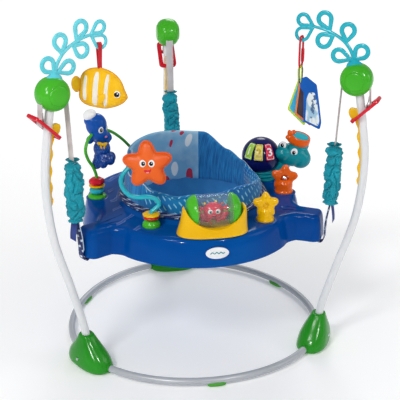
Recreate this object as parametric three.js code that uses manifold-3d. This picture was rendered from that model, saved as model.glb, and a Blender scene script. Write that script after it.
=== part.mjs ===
// A baby's activity jumper: a tube frame on three feet, and a toy tray with a swivel seat that
// hangs on three sprung straps. Millimetres, Z up, front towards -Y.
import * as THREE from "three";
import { mergeVertices } from "three/addons/utils/BufferGeometryUtils.js";
import Module from "manifold-3d";

const wasm = await Module();
wasm.setup();

// ---- driving dimensions ----
const GAP = 0.4; // clearance between pieces
const ARMS = { left: 210, right: 330, back: 90 }; // bearing of each arm, degrees from +X
const PADS = { left: 150, right: 30, front: 270 };
const RING = { radius: 330, bulge: 7, tube: 9, z: 13 }; // floor ring, pushed out at the feet
const ARM = { tube: 10, path: [[340, 24], [353, 112], [386, 234], [425, 375], [436, 516], [425, 609],
  [409, 702]] };
const HUB = { r: 404, z: 712, radial: 40, side: 31, up: 37, disc: 23 };
const STRAP = { width: 20, thick: 2, bend: 33, bendZ: 707, bottom: 552 };
const SLEEVE = { r: 361, top: 548, bottom: 398, radius: 20, wall: 3 };
const SPRING = { radius: 11.5, wire: 1.5, turns: 7, top: 545, bottom: 404 };
const ADJUST = { low: [400, 612], length: 80, tilt: 44.6, width: 50, thick: 7, window: 13 };
const TRAY = { edge: 291, neck: 14, lobe: 344, lobeHalf: 36, floor: 300, deck: 368, hole: 180, lip: 378 };
const SEAT = { radius: 177, flange: 191, facing: 300, bottom: 198 }; // facing: bearing the child looks
const TOY_TURN = -10; // bearing of the flat toys' faces, turned a little to the left
const DECK = TRAY.deck + GAP;

const COLOURS = {
  white: 0xe9ebec, green: 0x4fb62e, red: 0xd01830, yellow: 0xf7c400, blue: 0x0b4ea6, grey: 0xa9a3a4,
  teal: 0x12a5b4, aqua: 0x35c4cf, orange: 0xf36a10, navy: 0x1c2c78, steel: 0xb8bcc0, clear: 0xbfd4e0,
  lime: 0xb4d94a, pink: 0xe04560, seat: 0x2f9ad0, cyan: 0x8fe6ee,
};

// ---- helpers ----
const rad = THREE.MathUtils.degToRad;
const lerp = THREE.MathUtils.lerp;

// A point by its distance from the centre line, its height, and its offset to the side of a bearing.
function at(deg, r, z, t = 0) {
  const c = Math.cos(rad(deg)), s = Math.sin(rad(deg));
  return new THREE.Vector3(r * c + t * s, r * s - t * c, z);
}

// A skin over a row of rings of points. The ends are capped, or the last ring meets the first.
function loft(rings, joined = false) {
  const n = rings[0].length, p = [], f = [];
  for (const ring of rings) for (const v of ring) p.push(v.x, v.y, v.z);
  for (let i = 0; i < (joined ? rings.length : rings.length - 1); i++) {
    for (let j = 0; j < n; j++) {
      const k = ((i + 1) % rings.length) * n, a = i * n + j, b = i * n + ((j + 1) % n);
      f.push(a, b, k + ((j + 1) % n), a, k + ((j + 1) % n), k + j);
    }
  }
  for (const end of joined ? [] : [0, rings.length - 1]) {
    const mid = rings[end].reduce((s, v) => s.add(v), new THREE.Vector3()).divideScalar(n);
    for (let j = 0; j < n; j++) {
      const a = end * n + j, b = end * n + ((j + 1) % n);
      if (end) f.push(a, b, p.length / 3);
      else f.push(b, a, p.length / 3);
    }
    p.push(mid.x, mid.y, mid.z);
  }
  const g = new THREE.BufferGeometry();
  g.setAttribute("position", new THREE.Float32BufferAttribute(p, 3));
  g.setIndex(volume(p, f) < 0 ? f.reverse() : f);
  return g;
}

function volume(p, f) {
  const v = (i) => new THREE.Vector3(p[3 * i], p[3 * i + 1], p[3 * i + 2]);
  let sum = 0;
  for (let i = 0; i < f.length; i += 3) sum += v(f[i]).dot(v(f[i + 1]).cross(v(f[i + 2])));
  return sum;
}

// A round bar along a smooth line through points.
function bar(points, radius, steps, sides = 10) {
  const line = new THREE.CatmullRomCurve3(points, false, "centripetal");
  const { normals, binormals } = line.computeFrenetFrames(steps, false);
  const rings = [];
  for (let i = 0; i <= steps; i++) {
    const c = line.getPointAt(i / steps), ring = [];
    for (let j = 0; j < sides; j++) {
      const a = (2 * Math.PI * j) / sides;
      ring.push(c.clone().addScaledVector(normals[i], radius * Math.cos(a))
        .addScaledVector(binormals[i], radius * Math.sin(a)));
    }
    rings.push(ring);
  }
  return loft(rings);
}

// A ring of points round a centre, between an ellipse (power 2) and a rounded box.
function oval(centre, u, v, a, b, count, power = 2) {
  const soft = (x) => Math.sign(x) * Math.abs(x) ** (2 / power), ring = [];
  for (let j = 0; j < count; j++) {
    const w = (2 * Math.PI * j) / count;
    ring.push(centre.clone().addScaledVector(u, a * soft(Math.cos(w))).addScaledVector(v,
      b * soft(Math.sin(w))));
  }
  return ring;
}

const X = new THREE.Vector3(1, 0, 0), Y = new THREE.Vector3(0, 1, 0), Z = new THREE.Vector3(0, 0, 1);

// An upright round piece: rows of [radius, height] about a vertical line.
const turned = (centre, rows, count = 20) =>
  loft(rows.map(([r, z]) => oval(new THREE.Vector3(centre.x, centre.y, z), X, Y, r, r, count)));

// The same with a round hole through it.
const ringed = (centre, rows, hole, count = 18) => {
  const ends = [rows[rows.length - 1][1], rows[0][1]].map((z) => [hole, z]);
  return loft([...rows, ...ends].map(([r, z]) =>
    oval(new THREE.Vector3(centre.x, centre.y, z), X, Y, r, r, count)), true);
};

// A flat outline of [across, up] points, given a thickness and stood upright at a place.
function plate(outline, thick, deg, origin = new THREE.Vector3(), bevel = 0, holes = []) {
  const shape = outline.isShape ? outline : new THREE.Shape(outline.map(([x, y]) => new THREE.Vector2(x, y)));
  for (const h of holes) shape.holes.push(new THREE.Path(h.map(([x, y]) => new THREE.Vector2(x, y))));
  const g = new THREE.ExtrudeGeometry(shape, {
    depth: thick - 2 * bevel, curveSegments: 8, bevelEnabled: bevel > 0,
    bevelThickness: bevel, bevelSize: bevel * 0.8, bevelOffset: -bevel * 0.8, bevelSegments: 2,
  });
  g.translate(0, 0, -thick / 2 + bevel);
  const u = at(deg, 1, 0), out = at(deg, 0, 0, 1);
  g.applyMatrix4(new THREE.Matrix4().makeBasis(u, Z, out));
  g.translate(origin.x, origin.y, origin.z);
  return g;
}

// The outline of a band that follows a line of [across, up] points.
function band(line, thick) {
  const sides = [1, -1].map((s) => line.map(([x, y], i) => {
    const [ax, ay] = line[Math.max(i - 1, 0)], [bx, by] = line[Math.min(i + 1, line.length - 1)];
    const d = Math.hypot(bx - ax, by - ay);
    return [x - (s * thick * (by - ay)) / (2 * d), y + (s * thick * (bx - ax)) / (2 * d)];
  }));
  return [...sides[1], ...sides[0].reverse()];
}

function solid(g) {
  const plain = g.index ? g.toNonIndexed() : g.clone();
  for (const extra of ["normal", "uv"]) plain.deleteAttribute(extra);
  const m = mergeVertices(plain, 1e-3);
  return new wasm.Manifold(new wasm.Mesh({
    numProp: 3, vertProperties: m.attributes.position.array, triVerts: new Uint32Array(m.index.array),
  }));
}

// The first piece with the second list added to it and the third list cut from it.
function made(first, add = [], cut = []) {
  let s = solid(first);
  for (const g of add) s = s.add(solid(g));
  for (const g of cut) s = s.subtract(solid(g));
  const m = s.getMesh(), g = new THREE.BufferGeometry();
  g.setAttribute("position", new THREE.Float32BufferAttribute(m.vertProperties, 3));
  g.setIndex(Array.from(m.triVerts));
  return g;
}

const jumper = new THREE.Group();
function piece(name, geometry, colour, look = {}) {
  const flat = geometry.index ? geometry.toNonIndexed() : geometry;
  flat.computeVertexNormals();
  const mesh = new THREE.Mesh(flat, new THREE.MeshStandardMaterial({ color: COLOURS[colour], ...look }));
  mesh.name = name;
  jumper.add(mesh);
}

const egg = (centre, a, b, c, wide = 16, high = 10, turn = 0) =>
  new THREE.SphereGeometry(1, wide, high).rotateX(Math.PI / 2).scale(a, b, c).rotateZ(rad(turn))
    .translate(centre.x, centre.y, centre.z);

// A rod along the side direction of a bearing, or any other direction.
function rod(centre, direction, radius, length, count = 20) {
  const g = new THREE.CylinderGeometry(radius, radius, length, count);
  g.applyQuaternion(new THREE.Quaternion().setFromUnitVectors(Y, direction.clone().normalize()));
  return g.translate(centre.x, centre.y, centre.z);
}

// ---- floor ring, feet and pads ----
const ringRadius = (deg) => RING.radius + RING.bulge * Math.cos(3 * rad(deg - 90));
function floorRing(grow = 0) {
  const rings = [];
  for (let i = 0; i < 42; i++) {
    const deg = (360 * i) / 42;
    rings.push(oval(at(deg, ringRadius(deg), RING.z), at(deg, 1, 0), Z, RING.tube + grow, RING.tube + grow,
      8));
  }
  return loft(rings, true);
}
const armTube = (deg, grow = 0) =>
  bar(ARM.path.map(([r, z]) => at(deg, r, z)), ARM.tube + grow, 14, 8);

piece("base_ring", floorRing(), "white");
for (const [side, deg] of Object.entries(ARMS)) {
  const u = at(deg, 1, 0), v = at(deg, 0, 0, 1);
  // height, distance out, half depth, half width
  const levels = [[0, 336, 36, 66], [5, 337, 40, 71], [26, 339, 38, 66], [50, 342, 31, 47],
    [72, 345, 23, 28], [88, 347, 17, 18]];
  const block = loft(levels.map(([z, r, a, b]) => oval(at(deg, r, z), u, v, a, b, 24, 2.5)));
  piece("foot_" + side, made(block, [], [floorRing(GAP), armTube(deg, GAP),
    rod(at(deg, 340, 22.5), Z, 10.4, 4)]), "green");
  piece("arm_" + side, armTube(deg), "white");
}
for (const [side, deg] of Object.entries(PADS)) {
  const u = at(deg, 1, 0), v = at(deg, 0, 0, 1), r = ringRadius(deg);
  const block = loft([[0, 8, 19], [3, 11, 23], [10, 11, 23]].map(([z, a, b]) => oval(at(deg, r, z), u, v,
    a, b, 16, 3)));
  piece("pad_" + side, made(block, [], [floorRing(GAP)]), "green");
}

// ---- hubs, racks, adjusters and straps ----
const armLine = new THREE.SplineCurve(ARM.path.map(([r, z]) => new THREE.Vector2(r, z)));
const armProfile = armLine.getPoints(80);
function armRadius(z) {
  const i = Math.max(1, armProfile.findIndex((p) => p.y >= z));
  const a = armProfile[i - 1], b = armProfile[i];
  return lerp(a.x, b.x, (z - a.y) / (b.y - a.y));
}
// The strap's slot: up one side of the hub, over the saddle and down the other.
const arch = [];
for (let k = 0; k <= 8; k++) {
  const a = (Math.PI * k) / 8;
  arch.push([HUB.r + STRAP.bend * Math.cos(a), STRAP.bendZ + STRAP.bend * Math.sin(a)]);
}
const slotLine = [[HUB.r + STRAP.bend, 655], ...arch, [HUB.r - STRAP.bend, 655]];
const hubBall = (deg, grow = 0) =>
  egg(at(deg, HUB.r, HUB.z), HUB.radial + grow, HUB.side + grow, HUB.up + grow, 14, 10, deg);

// The toothed rack's outline on the inner face of the arm, with the stop lug at its top.
function rackOutline() {
  const inner = [], outer = [];
  for (let k = 0; k <= 20; k++) {
    const z = lerp(452, 612, k / 20), end = Math.min(1, k / 2);
    inner.push([armRadius(z) - 9 - end * (5 + 2.2 * Math.cos((2 * Math.PI * (z - 612)) / 38)), z]);
  }
  inner.push([armRadius(618) - 12, 617], [397, 619], [391, 640], [396, 643], [armRadius(643) - 8, 641]);
  for (let k = 0; k <= 6; k++) outer.push([armRadius(lerp(640, 452, k / 6)) - 4, lerp(640, 452, k / 6)]);
  return [...inner, ...outer];
}

// The adjuster: a flat frame with two windows, hung over the arm at a slant.
function adjuster(deg) {
  const L = ADJUST.length, w = ADJUST.width / 2, box = (x0, x1, y, c) =>
    [[x0 + c, -y], [x1 - c, -y], [x1, -y + c], [x1, y - c], [x1 - c, y], [x0 + c, y], [x0, y - c],
      [x0, -y + c]];
  const shape = new THREE.Shape(box(-5, L + 5, w, 9).map(([x, y]) => new THREE.Vector2(x, y)));
  for (const h of [box(5, 49, ADJUST.window, 3), box(55, 74, ADJUST.window, 3)]) {
    shape.holes.push(new THREE.Path(h.map(([x, y]) => new THREE.Vector2(x, y))));
  }
  const g = new THREE.ExtrudeGeometry(shape, {
    depth: ADJUST.thick - 3, bevelThickness: 1.5, bevelSize: 1.5, bevelOffset: -1.5, bevelSegments: 1,
  });
  g.translate(0, 0, -ADJUST.thick / 2 + 1.5);
  const along = at(deg, Math.cos(rad(ADJUST.tilt)), Math.sin(rad(ADJUST.tilt))), side = at(deg, 0, 0, 1);
  g.applyMatrix4(new THREE.Matrix4().makeBasis(along, side, along.clone().cross(side)));
  const low = at(deg, ...ADJUST.low);
  return g.translate(low.x, low.y, low.z);
}

for (const [side, deg] of Object.entries(ARMS)) {
  const disc = rod(at(deg, HUB.r, HUB.z), at(deg, 0, 0, 1), HUB.disc, 2 * HUB.side + 3, 16);
  const slot = plate(band(slotLine, STRAP.thick + 3), STRAP.width + 2, deg);
  const bore = armTube(deg, GAP), mouth = rod(at(deg, 409, 703), Z, 10.3, 6, 12);
  piece("hub_" + side, made(hubBall(deg), [disc], [slot, bore, mouth]), "green");
  piece("rack_" + side, made(plate(rackOutline(), 12, deg), [], [armTube(deg, GAP)]), "yellow");
  piece("adjuster_" + side, adjuster(deg), "red");
  for (const [run, low, top] of [["inner", [364, STRAP.bottom], [371, 704]],
    ["outer", [439, 657], [437, 704]]]) {
    piece("strap_" + run + "_" + side, plate(band([low, top], STRAP.thick), STRAP.width, deg), "grey");
  }
}

// ---- springs, sleeves and lower tabs ----
for (const [side, deg] of Object.entries(ARMS)) {
  const coil = [], c = at(deg, SLEEVE.r, 0), turns = SPRING.turns;
  for (let k = 0; k <= turns * 6; k++) {
    const a = (2 * Math.PI * k) / 6, z = lerp(SPRING.bottom, SPRING.top, k / (turns * 6));
    coil.push(new THREE.Vector3(c.x + SPRING.radius * Math.cos(a), c.y + SPRING.radius * Math.sin(a), z));
  }
  piece("spring_" + side, bar(coil, SPRING.wire, turns * 6, 4), "steel", { metalness: 1 });

  const rows = [];
  for (let k = 0; k <= 8; k++) {
    rows.push([SLEEVE.radius + (k % 2 ? 2.5 : 0), lerp(SLEEVE.bottom, SLEEVE.top, k / 8)]);
  }
  piece("sleeve_" + side, ringed(c, rows, SLEEVE.radius - SLEEVE.wall, 12), "teal");

  const line = [[361, 401], [357, 380], [352, 350], [350.5, 305], [347, 293], [338, 290], [331, 296],
    [329, 350]];
  piece("tab_" + side, plate(band(line, 2.5), STRAP.width, deg), "navy");
}

// ---- tray ----
// The tray's outline, drawn in by one amount on the long edges and another on the three lobes.
function trayOutline(inEdge, inLobe) {
  const w = TRAY.lobeHalf - inLobe, L = TRAY.lobe - inLobe, c = Math.max(20 - inLobe, 5);
  const half = [[L, 0], [L, w - c], [L - 0.3 * c, w - 0.3 * c], [L - c, w], [306, w],
    [285 - inEdge / 2, w + 3]];
  const list = [];
  for (const deg of [90, 210, 330]) {
    for (const side of [1, -1]) {
      const arm = side > 0 ? deg : deg + 120, part = half.map(([x, y]) => at(arm, x, 0, -side * y));
      for (const psi of [12, 23, 35, 47, 60]) {
        const r = TRAY.edge - TRAY.neck * ((60 - psi) / 49) ** 2 - inEdge;
        part.push(at(arm + side * psi, r, 0));
      }
      list.push(...(side > 0 ? part : part.reverse().slice(1, -1)));
    }
  }
  return list;
}
const lift = (ring, z) => ring.map((v) => new THREE.Vector3(v.x, v.y, z));
// A circle whose points stand at the same bearings as the outline's.
const round = (r, z) => trayOutline(10, 8).map((v) => new THREE.Vector3(v.x, v.y, 0).setLength(r).setZ(z));
piece("tray", loft([
  lift(trayOutline(0, 0), TRAY.floor), lift(trayOutline(7, 2), 340), lift(trayOutline(13, 6), 361),
  lift(trayOutline(22, 14), TRAY.deck), round(198, TRAY.deck), round(190, TRAY.lip - 2),
  round(186, TRAY.lip), round(TRAY.hole, TRAY.lip), round(TRAY.hole, 338), round(184, 338),
  round(187, 364), lift(trayOutline(24, 17), 364), lift(trayOutline(14, 10), 354),
  lift(trayOutline(4, 4), TRAY.floor),
], true), "blue", { roughness: 0.2 });

// ---- seat ----
// Height of the padded collar's rim, by the angle from the middle of the seat's back.
const RIM = [[0, 499], [50, 491], [74, 448], [90, 428], [105, 411], [122, 409], [145, 430], [180, 442]];
function rimHeight(deg) {
  const b = Math.abs(((deg - SEAT.facing - 180 + 900) % 360) - 180);
  const i = Math.max(1, RIM.findIndex(([x]) => x >= b)), [x0, y0] = RIM[i - 1], [x1, y1] = RIM[i];
  return lerp(y0, y1, THREE.MathUtils.smoothstep((b - x0) / (x1 - x0), 0, 1));
}
const seatRing = (r, z) => {
  const ring = [];
  for (let j = 0; j < 32; j++) {
    const deg = (360 * j) / 32;
    const up = z > 0 ? z : rimHeight(deg) + z;
    ring.push(at(deg, r - 0.12 * Math.max(0, up - 400), up)); // the top leans in a little
  }
  return ring;
};
// Rows of [radius, height]; a height of zero or less is measured from the rim.
const seatRows = [
  [8, 204], [42, 206], [86, 221], [127, 256], [155, 304], [168, 348], [169, -10], [173, 0],
  [SEAT.radius, -10], [SEAT.radius, 386], [SEAT.flange, 385], [SEAT.flange, 379.5], [SEAT.radius, 379],
  [175, 346], [162, 300], [132, 250], [88, 214], [42, SEAT.bottom], [8, SEAT.bottom - 2],
];
const legs = [-36, 36].map((a) => {
  const out = at(SEAT.facing + a, 1, -0.55);
  return rod(at(SEAT.facing + a, 100, 238), out, 47, 150, 20);
});
piece("seat", made(loft(seatRows.map(([r, z]) => seatRing(r, z))), [], legs), "seat");

// ---- kelp arches on the front hubs, with the toys they carry ----
// Each leaf: where it leaves the stem, its centre, and its outer and hole radius.
const STEM = [[396, 746], [392, 765], [383, 783], [369, 799], [349, 812], [325, 822], [298, 828]];
const LEAVES = [
  [[394, 755], [411, 777], 20, 11], [[393, 756], [359, 765], 19, 10], [[375, 793], [377, 824], 20, 11],
  [[348, 812], [322, 797], 20, 11], [[338, 817], [322, 847], 20, 11], [[300, 828], [272, 842], 17, 9.5],
  [[300, 828], [271, 809], 18, 11],
];
function leafOutline([tx, ty], [cx, cy], radius, reach) {
  const towards = Math.atan2(ty - cy, tx - cx), d = Math.hypot(tx - cx, ty - cy) * reach, list = [];
  for (let k = 0; k < 10; k++) {
    const a = towards + rad(52 + (256 * k) / 9);
    list.push([cx + radius * Math.cos(a), cy + radius * Math.sin(a)]);
  }
  list.push([cx + d * Math.cos(towards), cy + d * Math.sin(towards)]);
  return list;
}
for (const side of ["left", "right"]) {
  const deg = ARMS[side], parts = [];
  for (const [tip, centre, outer, inner] of LEAVES) {
    parts.push(plate(leafOutline(tip, centre, outer, 1), 4, deg, undefined, 0,
      [leafOutline(tip, centre, inner, 0.62)]));
  }
  const base = loft([[738, 20, 15], [752, 17, 13], [757, 8, 6]].map(([z, a, b]) =>
    oval(at(deg, 397, z), at(deg, 1, 0), at(deg, 0, 0, 1), a, b, 14)));
  const stem = plate(band(STEM, 8), 5, deg);
  piece("kelp_" + side, made(stem, [base, ...parts], [hubBall(deg, GAP)]), side === "left" ? "cyan" : "aqua");
}

// A closed flat loop hung over a leaf: outline and hole, across and up.
const loopOutline = (half, low, high, cut) =>
  [[-half, low + cut], [-half + cut, low], [half - cut, low], [half, low + cut],
    [half, high - cut], [half - cut, high], [cut - half, high], [-half, high - cut]];

// The fish: a plush body with a tail and fins, sewn to a ribbon that loops round a leaf.
const fishAt = at(ARMS.left, 279, 704), fishMid = fishAt.clone().add(at(TOY_TURN, 8, 0));
const fishPart = (outline, thick) => plate(outline, thick, TOY_TURN, fishAt);
piece("fish", made(egg(fishMid, 56, 19, 45, 16, 10, TOY_TURN), [
  fishPart([[-40, 10], [-58, 23], [-68, 18], [-66, 4], [-69, -10], [-60, -16], [-40, -6]], 9),
  fishPart([[-22, -34], [-30, -50], [-12, -54], [8, -50], [12, -38]], 8),
  fishPart([[-24, 34], [-20, 50], [0, 55], [18, 48], [16, 36]], 8),
  plate(loopOutline(6.4, 742, 809, 2), 6, ARMS.left + 90, at(ARMS.left, 276, 0), 0,
    [loopOutline(4.6, 778, 807, 1.5)]),
]), "yellow");

// The link and the cloth book: a cover and two pages that hang from one cord.
const linkAt = at(ARMS.right, 270, 0), LINK_TURN = 40;
piece("link", plate(
  loopOutline(9, 728, 806.5, 5), 5, LINK_TURN, linkAt, 0, [loopOutline(4.6, 733, 802, 2.5)],
), "red");
const page = (deg, back, outline) => plate(outline, 5, deg, at(ARMS.right, 270, 0).add(at(75, back, 0)));
piece("book", made(
  page(-62, 0, [[-3, 688], [-3, 700], [20, 712], [55, 699], [76, 612], [72, 594], [18, 601], [14, 682]]),
  [
    page(165, -1.5, [[-30, 586], [-46, 655], [-24, 695], [1, 701], [9, 615]]),
    page(165, 6, [[-15, 584], [-42, 650], [-20, 694], [4, 700], [27, 625]]),
    rod(at(ARMS.right, 270, 694).add(at(75, 2.2, 0)), at(75, 1, 0), 3, 12, 8),
    plate(loopOutline(5.5, 690, 739, 2), 3, LINK_TURN - 90, linkAt, 0, [loopOutline(3.6, 706, 736.5, 1.5)]),
  ],
), "lime");

// ---- toys on the tray ----
// A soft five-pointed star, as [across, up] points.
function star(R, r, turn = 0) {
  const list = [];
  for (let k = 0; k < 30; k++) {
    const a = rad(90 + 12 * k);
    const d = lerp(r, R, (0.5 + 0.5 * Math.cos(5 * (a - rad(90)))) ** 1.2);
    list.push([d * Math.cos(a + rad(turn)), d * Math.sin(a + rad(turn))]);
  }
  return list;
}

// Front: a spinning drum in a cradle.
const drumAt = new THREE.Vector3(8, -225, 417);
function barrel(rows, count = 20) {
  return loft(rows.map(([x, r]) => oval(drumAt.clone().setX(drumAt.x + x), Y, Z, r, r, count)));
}
const cradle = loft([[DECK, 87, 37.5], [DECK + 5, 87, 37.5], [400, 80, 35], [432, 75, 30]].map(([z, a, b]) =>
  oval(new THREE.Vector3(drumAt.x + 1, -236.5, z), X, Y, a, b, 28, 3)));
piece("drum_cradle", made(cradle, [], [
  barrel([[-68, 26], [-62, 34], [-48, 41], [-24, 44.5], [24, 44.5], [48, 41], [62, 34], [68, 26]], 24),
  rod(new THREE.Vector3(drumAt.x, drumAt.y, 466), Y, 78, 200, 40), rod(drumAt, X, 4.6, 148, 10),
]), "yellow");
piece("drum_window", loft([[-42, 41], [0, 42], [42, 41], [42, 38.8], [0, 39.8], [-42, 38.8]].map(([x, r]) =>
  oval(drumAt.clone().setX(drumAt.x + x), Y, Z, r, r, 20)), true), "clear",
    { transparent: true, opacity: 0.35 });
const caps = [-1, 1].map((s) => barrel([[s * 42.4, 38.4], [s * 44, 41], [s * 52, 38], [s * 60, 31],
  [s * 64, 22]], 16));
piece("drum_core", made(rod(drumAt, X, 4, 144, 10), [
  ...caps, egg(drumAt, 26, 15, 17, 12, 8),
  ...[-1, 1].map((s) => egg(drumAt.clone().add(new THREE.Vector3(s * 22, 0, -8)), 12, 10, 10, 8, 6)),
]), "green");

// Front left: a star on a bent stalk, with two loose rings at its foot.
const stalkAt = new THREE.Vector3(-133, -176, 0);
piece("star_base", made(turned(stalkAt, [[22, DECK], [22, 372], [19, 380], [12, 386]], 16), [],
  [rod(stalkAt.clone().setZ(384), Z, 6.8, 16, 12)]), "green");
piece("star_rings", ringed(stalkAt, [[15, 387.5], [19, 390], [17, 393], [20.5, 396], [20.5, 399],
  [17, 402]], 6.8, 16), "yellow");
const stalk = [
  [0, 0, 377], [0, 0, 403], [9, 0, 411], [19, 1, 421], [13, 2, 434], [-8, 3, 442], [-30, 4, 442],
    [-52, 5, 450],
  [-66, 7, 469], [-68, 10, 490], [-52, 13, 512], [-24, 12, 527], [-10, 6, 529],
].map(([x, y, z]) => new THREE.Vector3(stalkAt.x + x, stalkAt.y + y, z));
piece("star_stalk", bar(stalk, 5.5, 26, 7), "teal");
const starAt = new THREE.Vector3(-141, -189, 529);
piece("star", made(plate(star(56, 30, 3), 26, TOY_TURN, starAt, 8), [], [bar(stalk, 6.2, 26, 7)]), "orange");

// Left: a wire arch with beads at its foot and an octopus at its top.
const archFrom = new THREE.Vector3(-245, 35, 0), archTo = new THREE.Vector3(-95.6, 214.7, 0);
const archWay = archTo.clone().sub(archFrom).normalize();
const wire = [
  [0, 374], [0, 398], [0, 424], [-12, 452], [-34, 482], [-42, 508], [-28, 532], [12, 545], [62, 530],
    [111, 499],
  [149, 467], [195, 422], [228, 392], [233.7, 374],
].map(([s, z]) => archFrom.clone().addScaledVector(archWay, s).setZ(z));
piece("arch", made(bar(wire, 4, 34, 7), [
  turned(archFrom, [[22, DECK], [22, 373], [14, 377]]), turned(archTo, [[22, DECK], [22, 373], [14, 377]]),
]), "green");
piece("bead_ball", ringed(archFrom, [[11, 378], [18, 382], [19.5, 387], [18, 392], [11, 396]], 5.2, 14),
  "teal");
const petals = loft([[403.4, 18], [410, 19.5], [416, 17], [420, 11]].map(([z, r]) => {
  const ring = [];
  for (let k = 0; k < 18; k++) {
    const a = (2 * Math.PI * k) / 18;
    ring.push(new THREE.Vector3(
      archFrom.x + r * (1 + 0.07 * Math.cos(6 * a)) * Math.cos(a),
      archFrom.y + r * (1 + 0.07 * Math.cos(6 * a)) * Math.sin(a), z));
  }
  return ring;
}));
piece("bead_petals", made(petals, [turned(archFrom, [[18, 397], [21, 399], [21, 402], [18, 404]], 18)],
  [rod(archFrom.clone().setZ(408), Z, 5.2, 40, 12)]), "red");
const octopusAt = new THREE.Vector3(-240, 40, 553), lobes = [];
for (let k = 0; k < 5; k++) {
  const a = rad(72 * k + 20);
  lobes.push(egg(octopusAt.clone().add(new THREE.Vector3(16 + 14 * Math.cos(a), 12 * Math.sin(a), -92)),
    13, 12, 16, 8, 6));
}
piece("octopus", made(egg(octopusAt, 29, 28, 40, 14, 10), [
  egg(octopusAt.clone().add(new THREE.Vector3(14, 0, -67)), 29, 24, 34, 12, 8), ...lobes,
  egg(octopusAt.clone().add(new THREE.Vector3(-16, 0, 38)), 17, 17, 15, 10, 6),
], [bar(wire, 8, 34, 7)]), "blue");

// Right of the drum: a small star that turns on its post.
const postAt = new THREE.Vector3(145, -190, 409);
piece("post_star", made(plate(star(33, 20, 2), 22, TOY_TURN, postAt, 6),
  [turned(postAt, [[21, DECK], [21, 374], [18, 380], [19, 396], [13, 404]], 16)]), "yellow");

// Far right: an orange star with a mirrored ball in its middle.
const mirrorAt = new THREE.Vector3(240, -16, 407), facing = at(TOY_TURN, 0, 0, 1);
piece("mirror_star", made(plate(star(36, 22, -6), 20, TOY_TURN, mirrorAt, 5),
  [turned(mirrorAt, [[25, DECK], [25, 374], [22, 382], [19, 396], [12, 404]], 16)],
  [rod(mirrorAt, facing, 11, 60, 18), rod(mirrorAt, Z, 2, 30, 8)]), "orange");
piece("mirror_ball", made(egg(mirrorAt, 9.5, 9.5, 9.5, 14, 10), [rod(mirrorAt, Z, 1.5, 28, 8)]), "white");

// Right: a musical turtle with a domed shell, three push buttons and a head to one side.
const neckAt = new THREE.Vector3(212, 96, 0), domeAt = new THREE.Vector3(205.5, 99, 431);
function turtleBody(grow) {
  const g = grow, neck = turned(neckAt, [
    [34 + g, DECK], [34 + g, 372], [31 + g, 375], [33 + g, 379], [30 + g, 383], [30 + g, 394 + g],
  ], 18);
  const head = new THREE.Vector3(287, 72, 440), off = (x, y, z) => head.clone().add(new THREE.Vector3(x, y,
    z));
  return made(neck, [
    bar([new THREE.Vector3(220, 94, 385), new THREE.Vector3(248, 84, 396),
      new THREE.Vector3(276, 76, 424)], 17 + g, 4, 10),
    egg(head, 46 + g, 38 + g, 35 + g, 14, 9), egg(off(-24, -16, 25), 15 + g, 14 + g, 16 + g, 10, 8),
    egg(off(20, 2, 36), 29 + g, 24 + g, 20 + g, 10, 8), egg(off(-8, 6, 54), 10 + g, 9 + g, 24 + g, 8, 6),
  ]);
}
piece("turtle_body", turtleBody(0), "teal");
// A push button on the dome: a tapered block along its own outward direction.
function button(bearing, grow, from, to) {
  const out = at(bearing, Math.cos(rad(28)), Math.sin(rad(28)));
  const across = at(bearing, 0, 0, 1), up = across.clone().cross(out).negate();
  if (up.z < 0) up.negate();
  const corners = (reach) => [[-1, -1], [1, -1], [1, 1], [-1, 1]].map(([x, y]) => {
    const half = (y > 0 ? 8.2 : 12.2) + grow;
    return domeAt.clone().addScaledVector(out, reach).addScaledVector(across, x * half).addScaledVector(up,
      y * (19 + grow));
  });
  return loft([corners(from), corners(to)]);
}
const BUTTONS = { button_1: [214, "lime"], button_2: [248, "yellow"], button_3: [285, "pink"] };
piece("turtle_shell", made(egg(domeAt, 48.5, 48.5, 49, 18, 12), [], [
  new THREE.BoxGeometry(140, 140, 60).translate(domeAt.x, domeAt.y, 357), turtleBody(GAP + 0.2),
  ...Object.values(BUTTONS).map(([bearing]) => button(bearing, 0.5, 38, 70)),
]), "navy");
for (const [name, [bearing, colour]] of Object.entries(BUTTONS)) piece(name, button(bearing, 0, 43, 51),
  colour);

// The group is moved so the middle of its footprint is the origin, with the floor at z = 0.
const size = new THREE.Box3().setFromObject(jumper), middle = size.getCenter(new THREE.Vector3());
jumper.children.forEach((m) => m.geometry.translate(-middle.x, -middle.y, -size.min.z));

export default jumper;
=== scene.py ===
"""A baby's activity jumper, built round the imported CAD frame.

Lengths are given in millimetres in the floor ring's own frame, with the ring's centre at x = y = 0,
and are turned into metres in the row frame as each mesh is made."""
import math

import bmesh
import bpy
from mathutils import Matrix, Vector, noise

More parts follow.
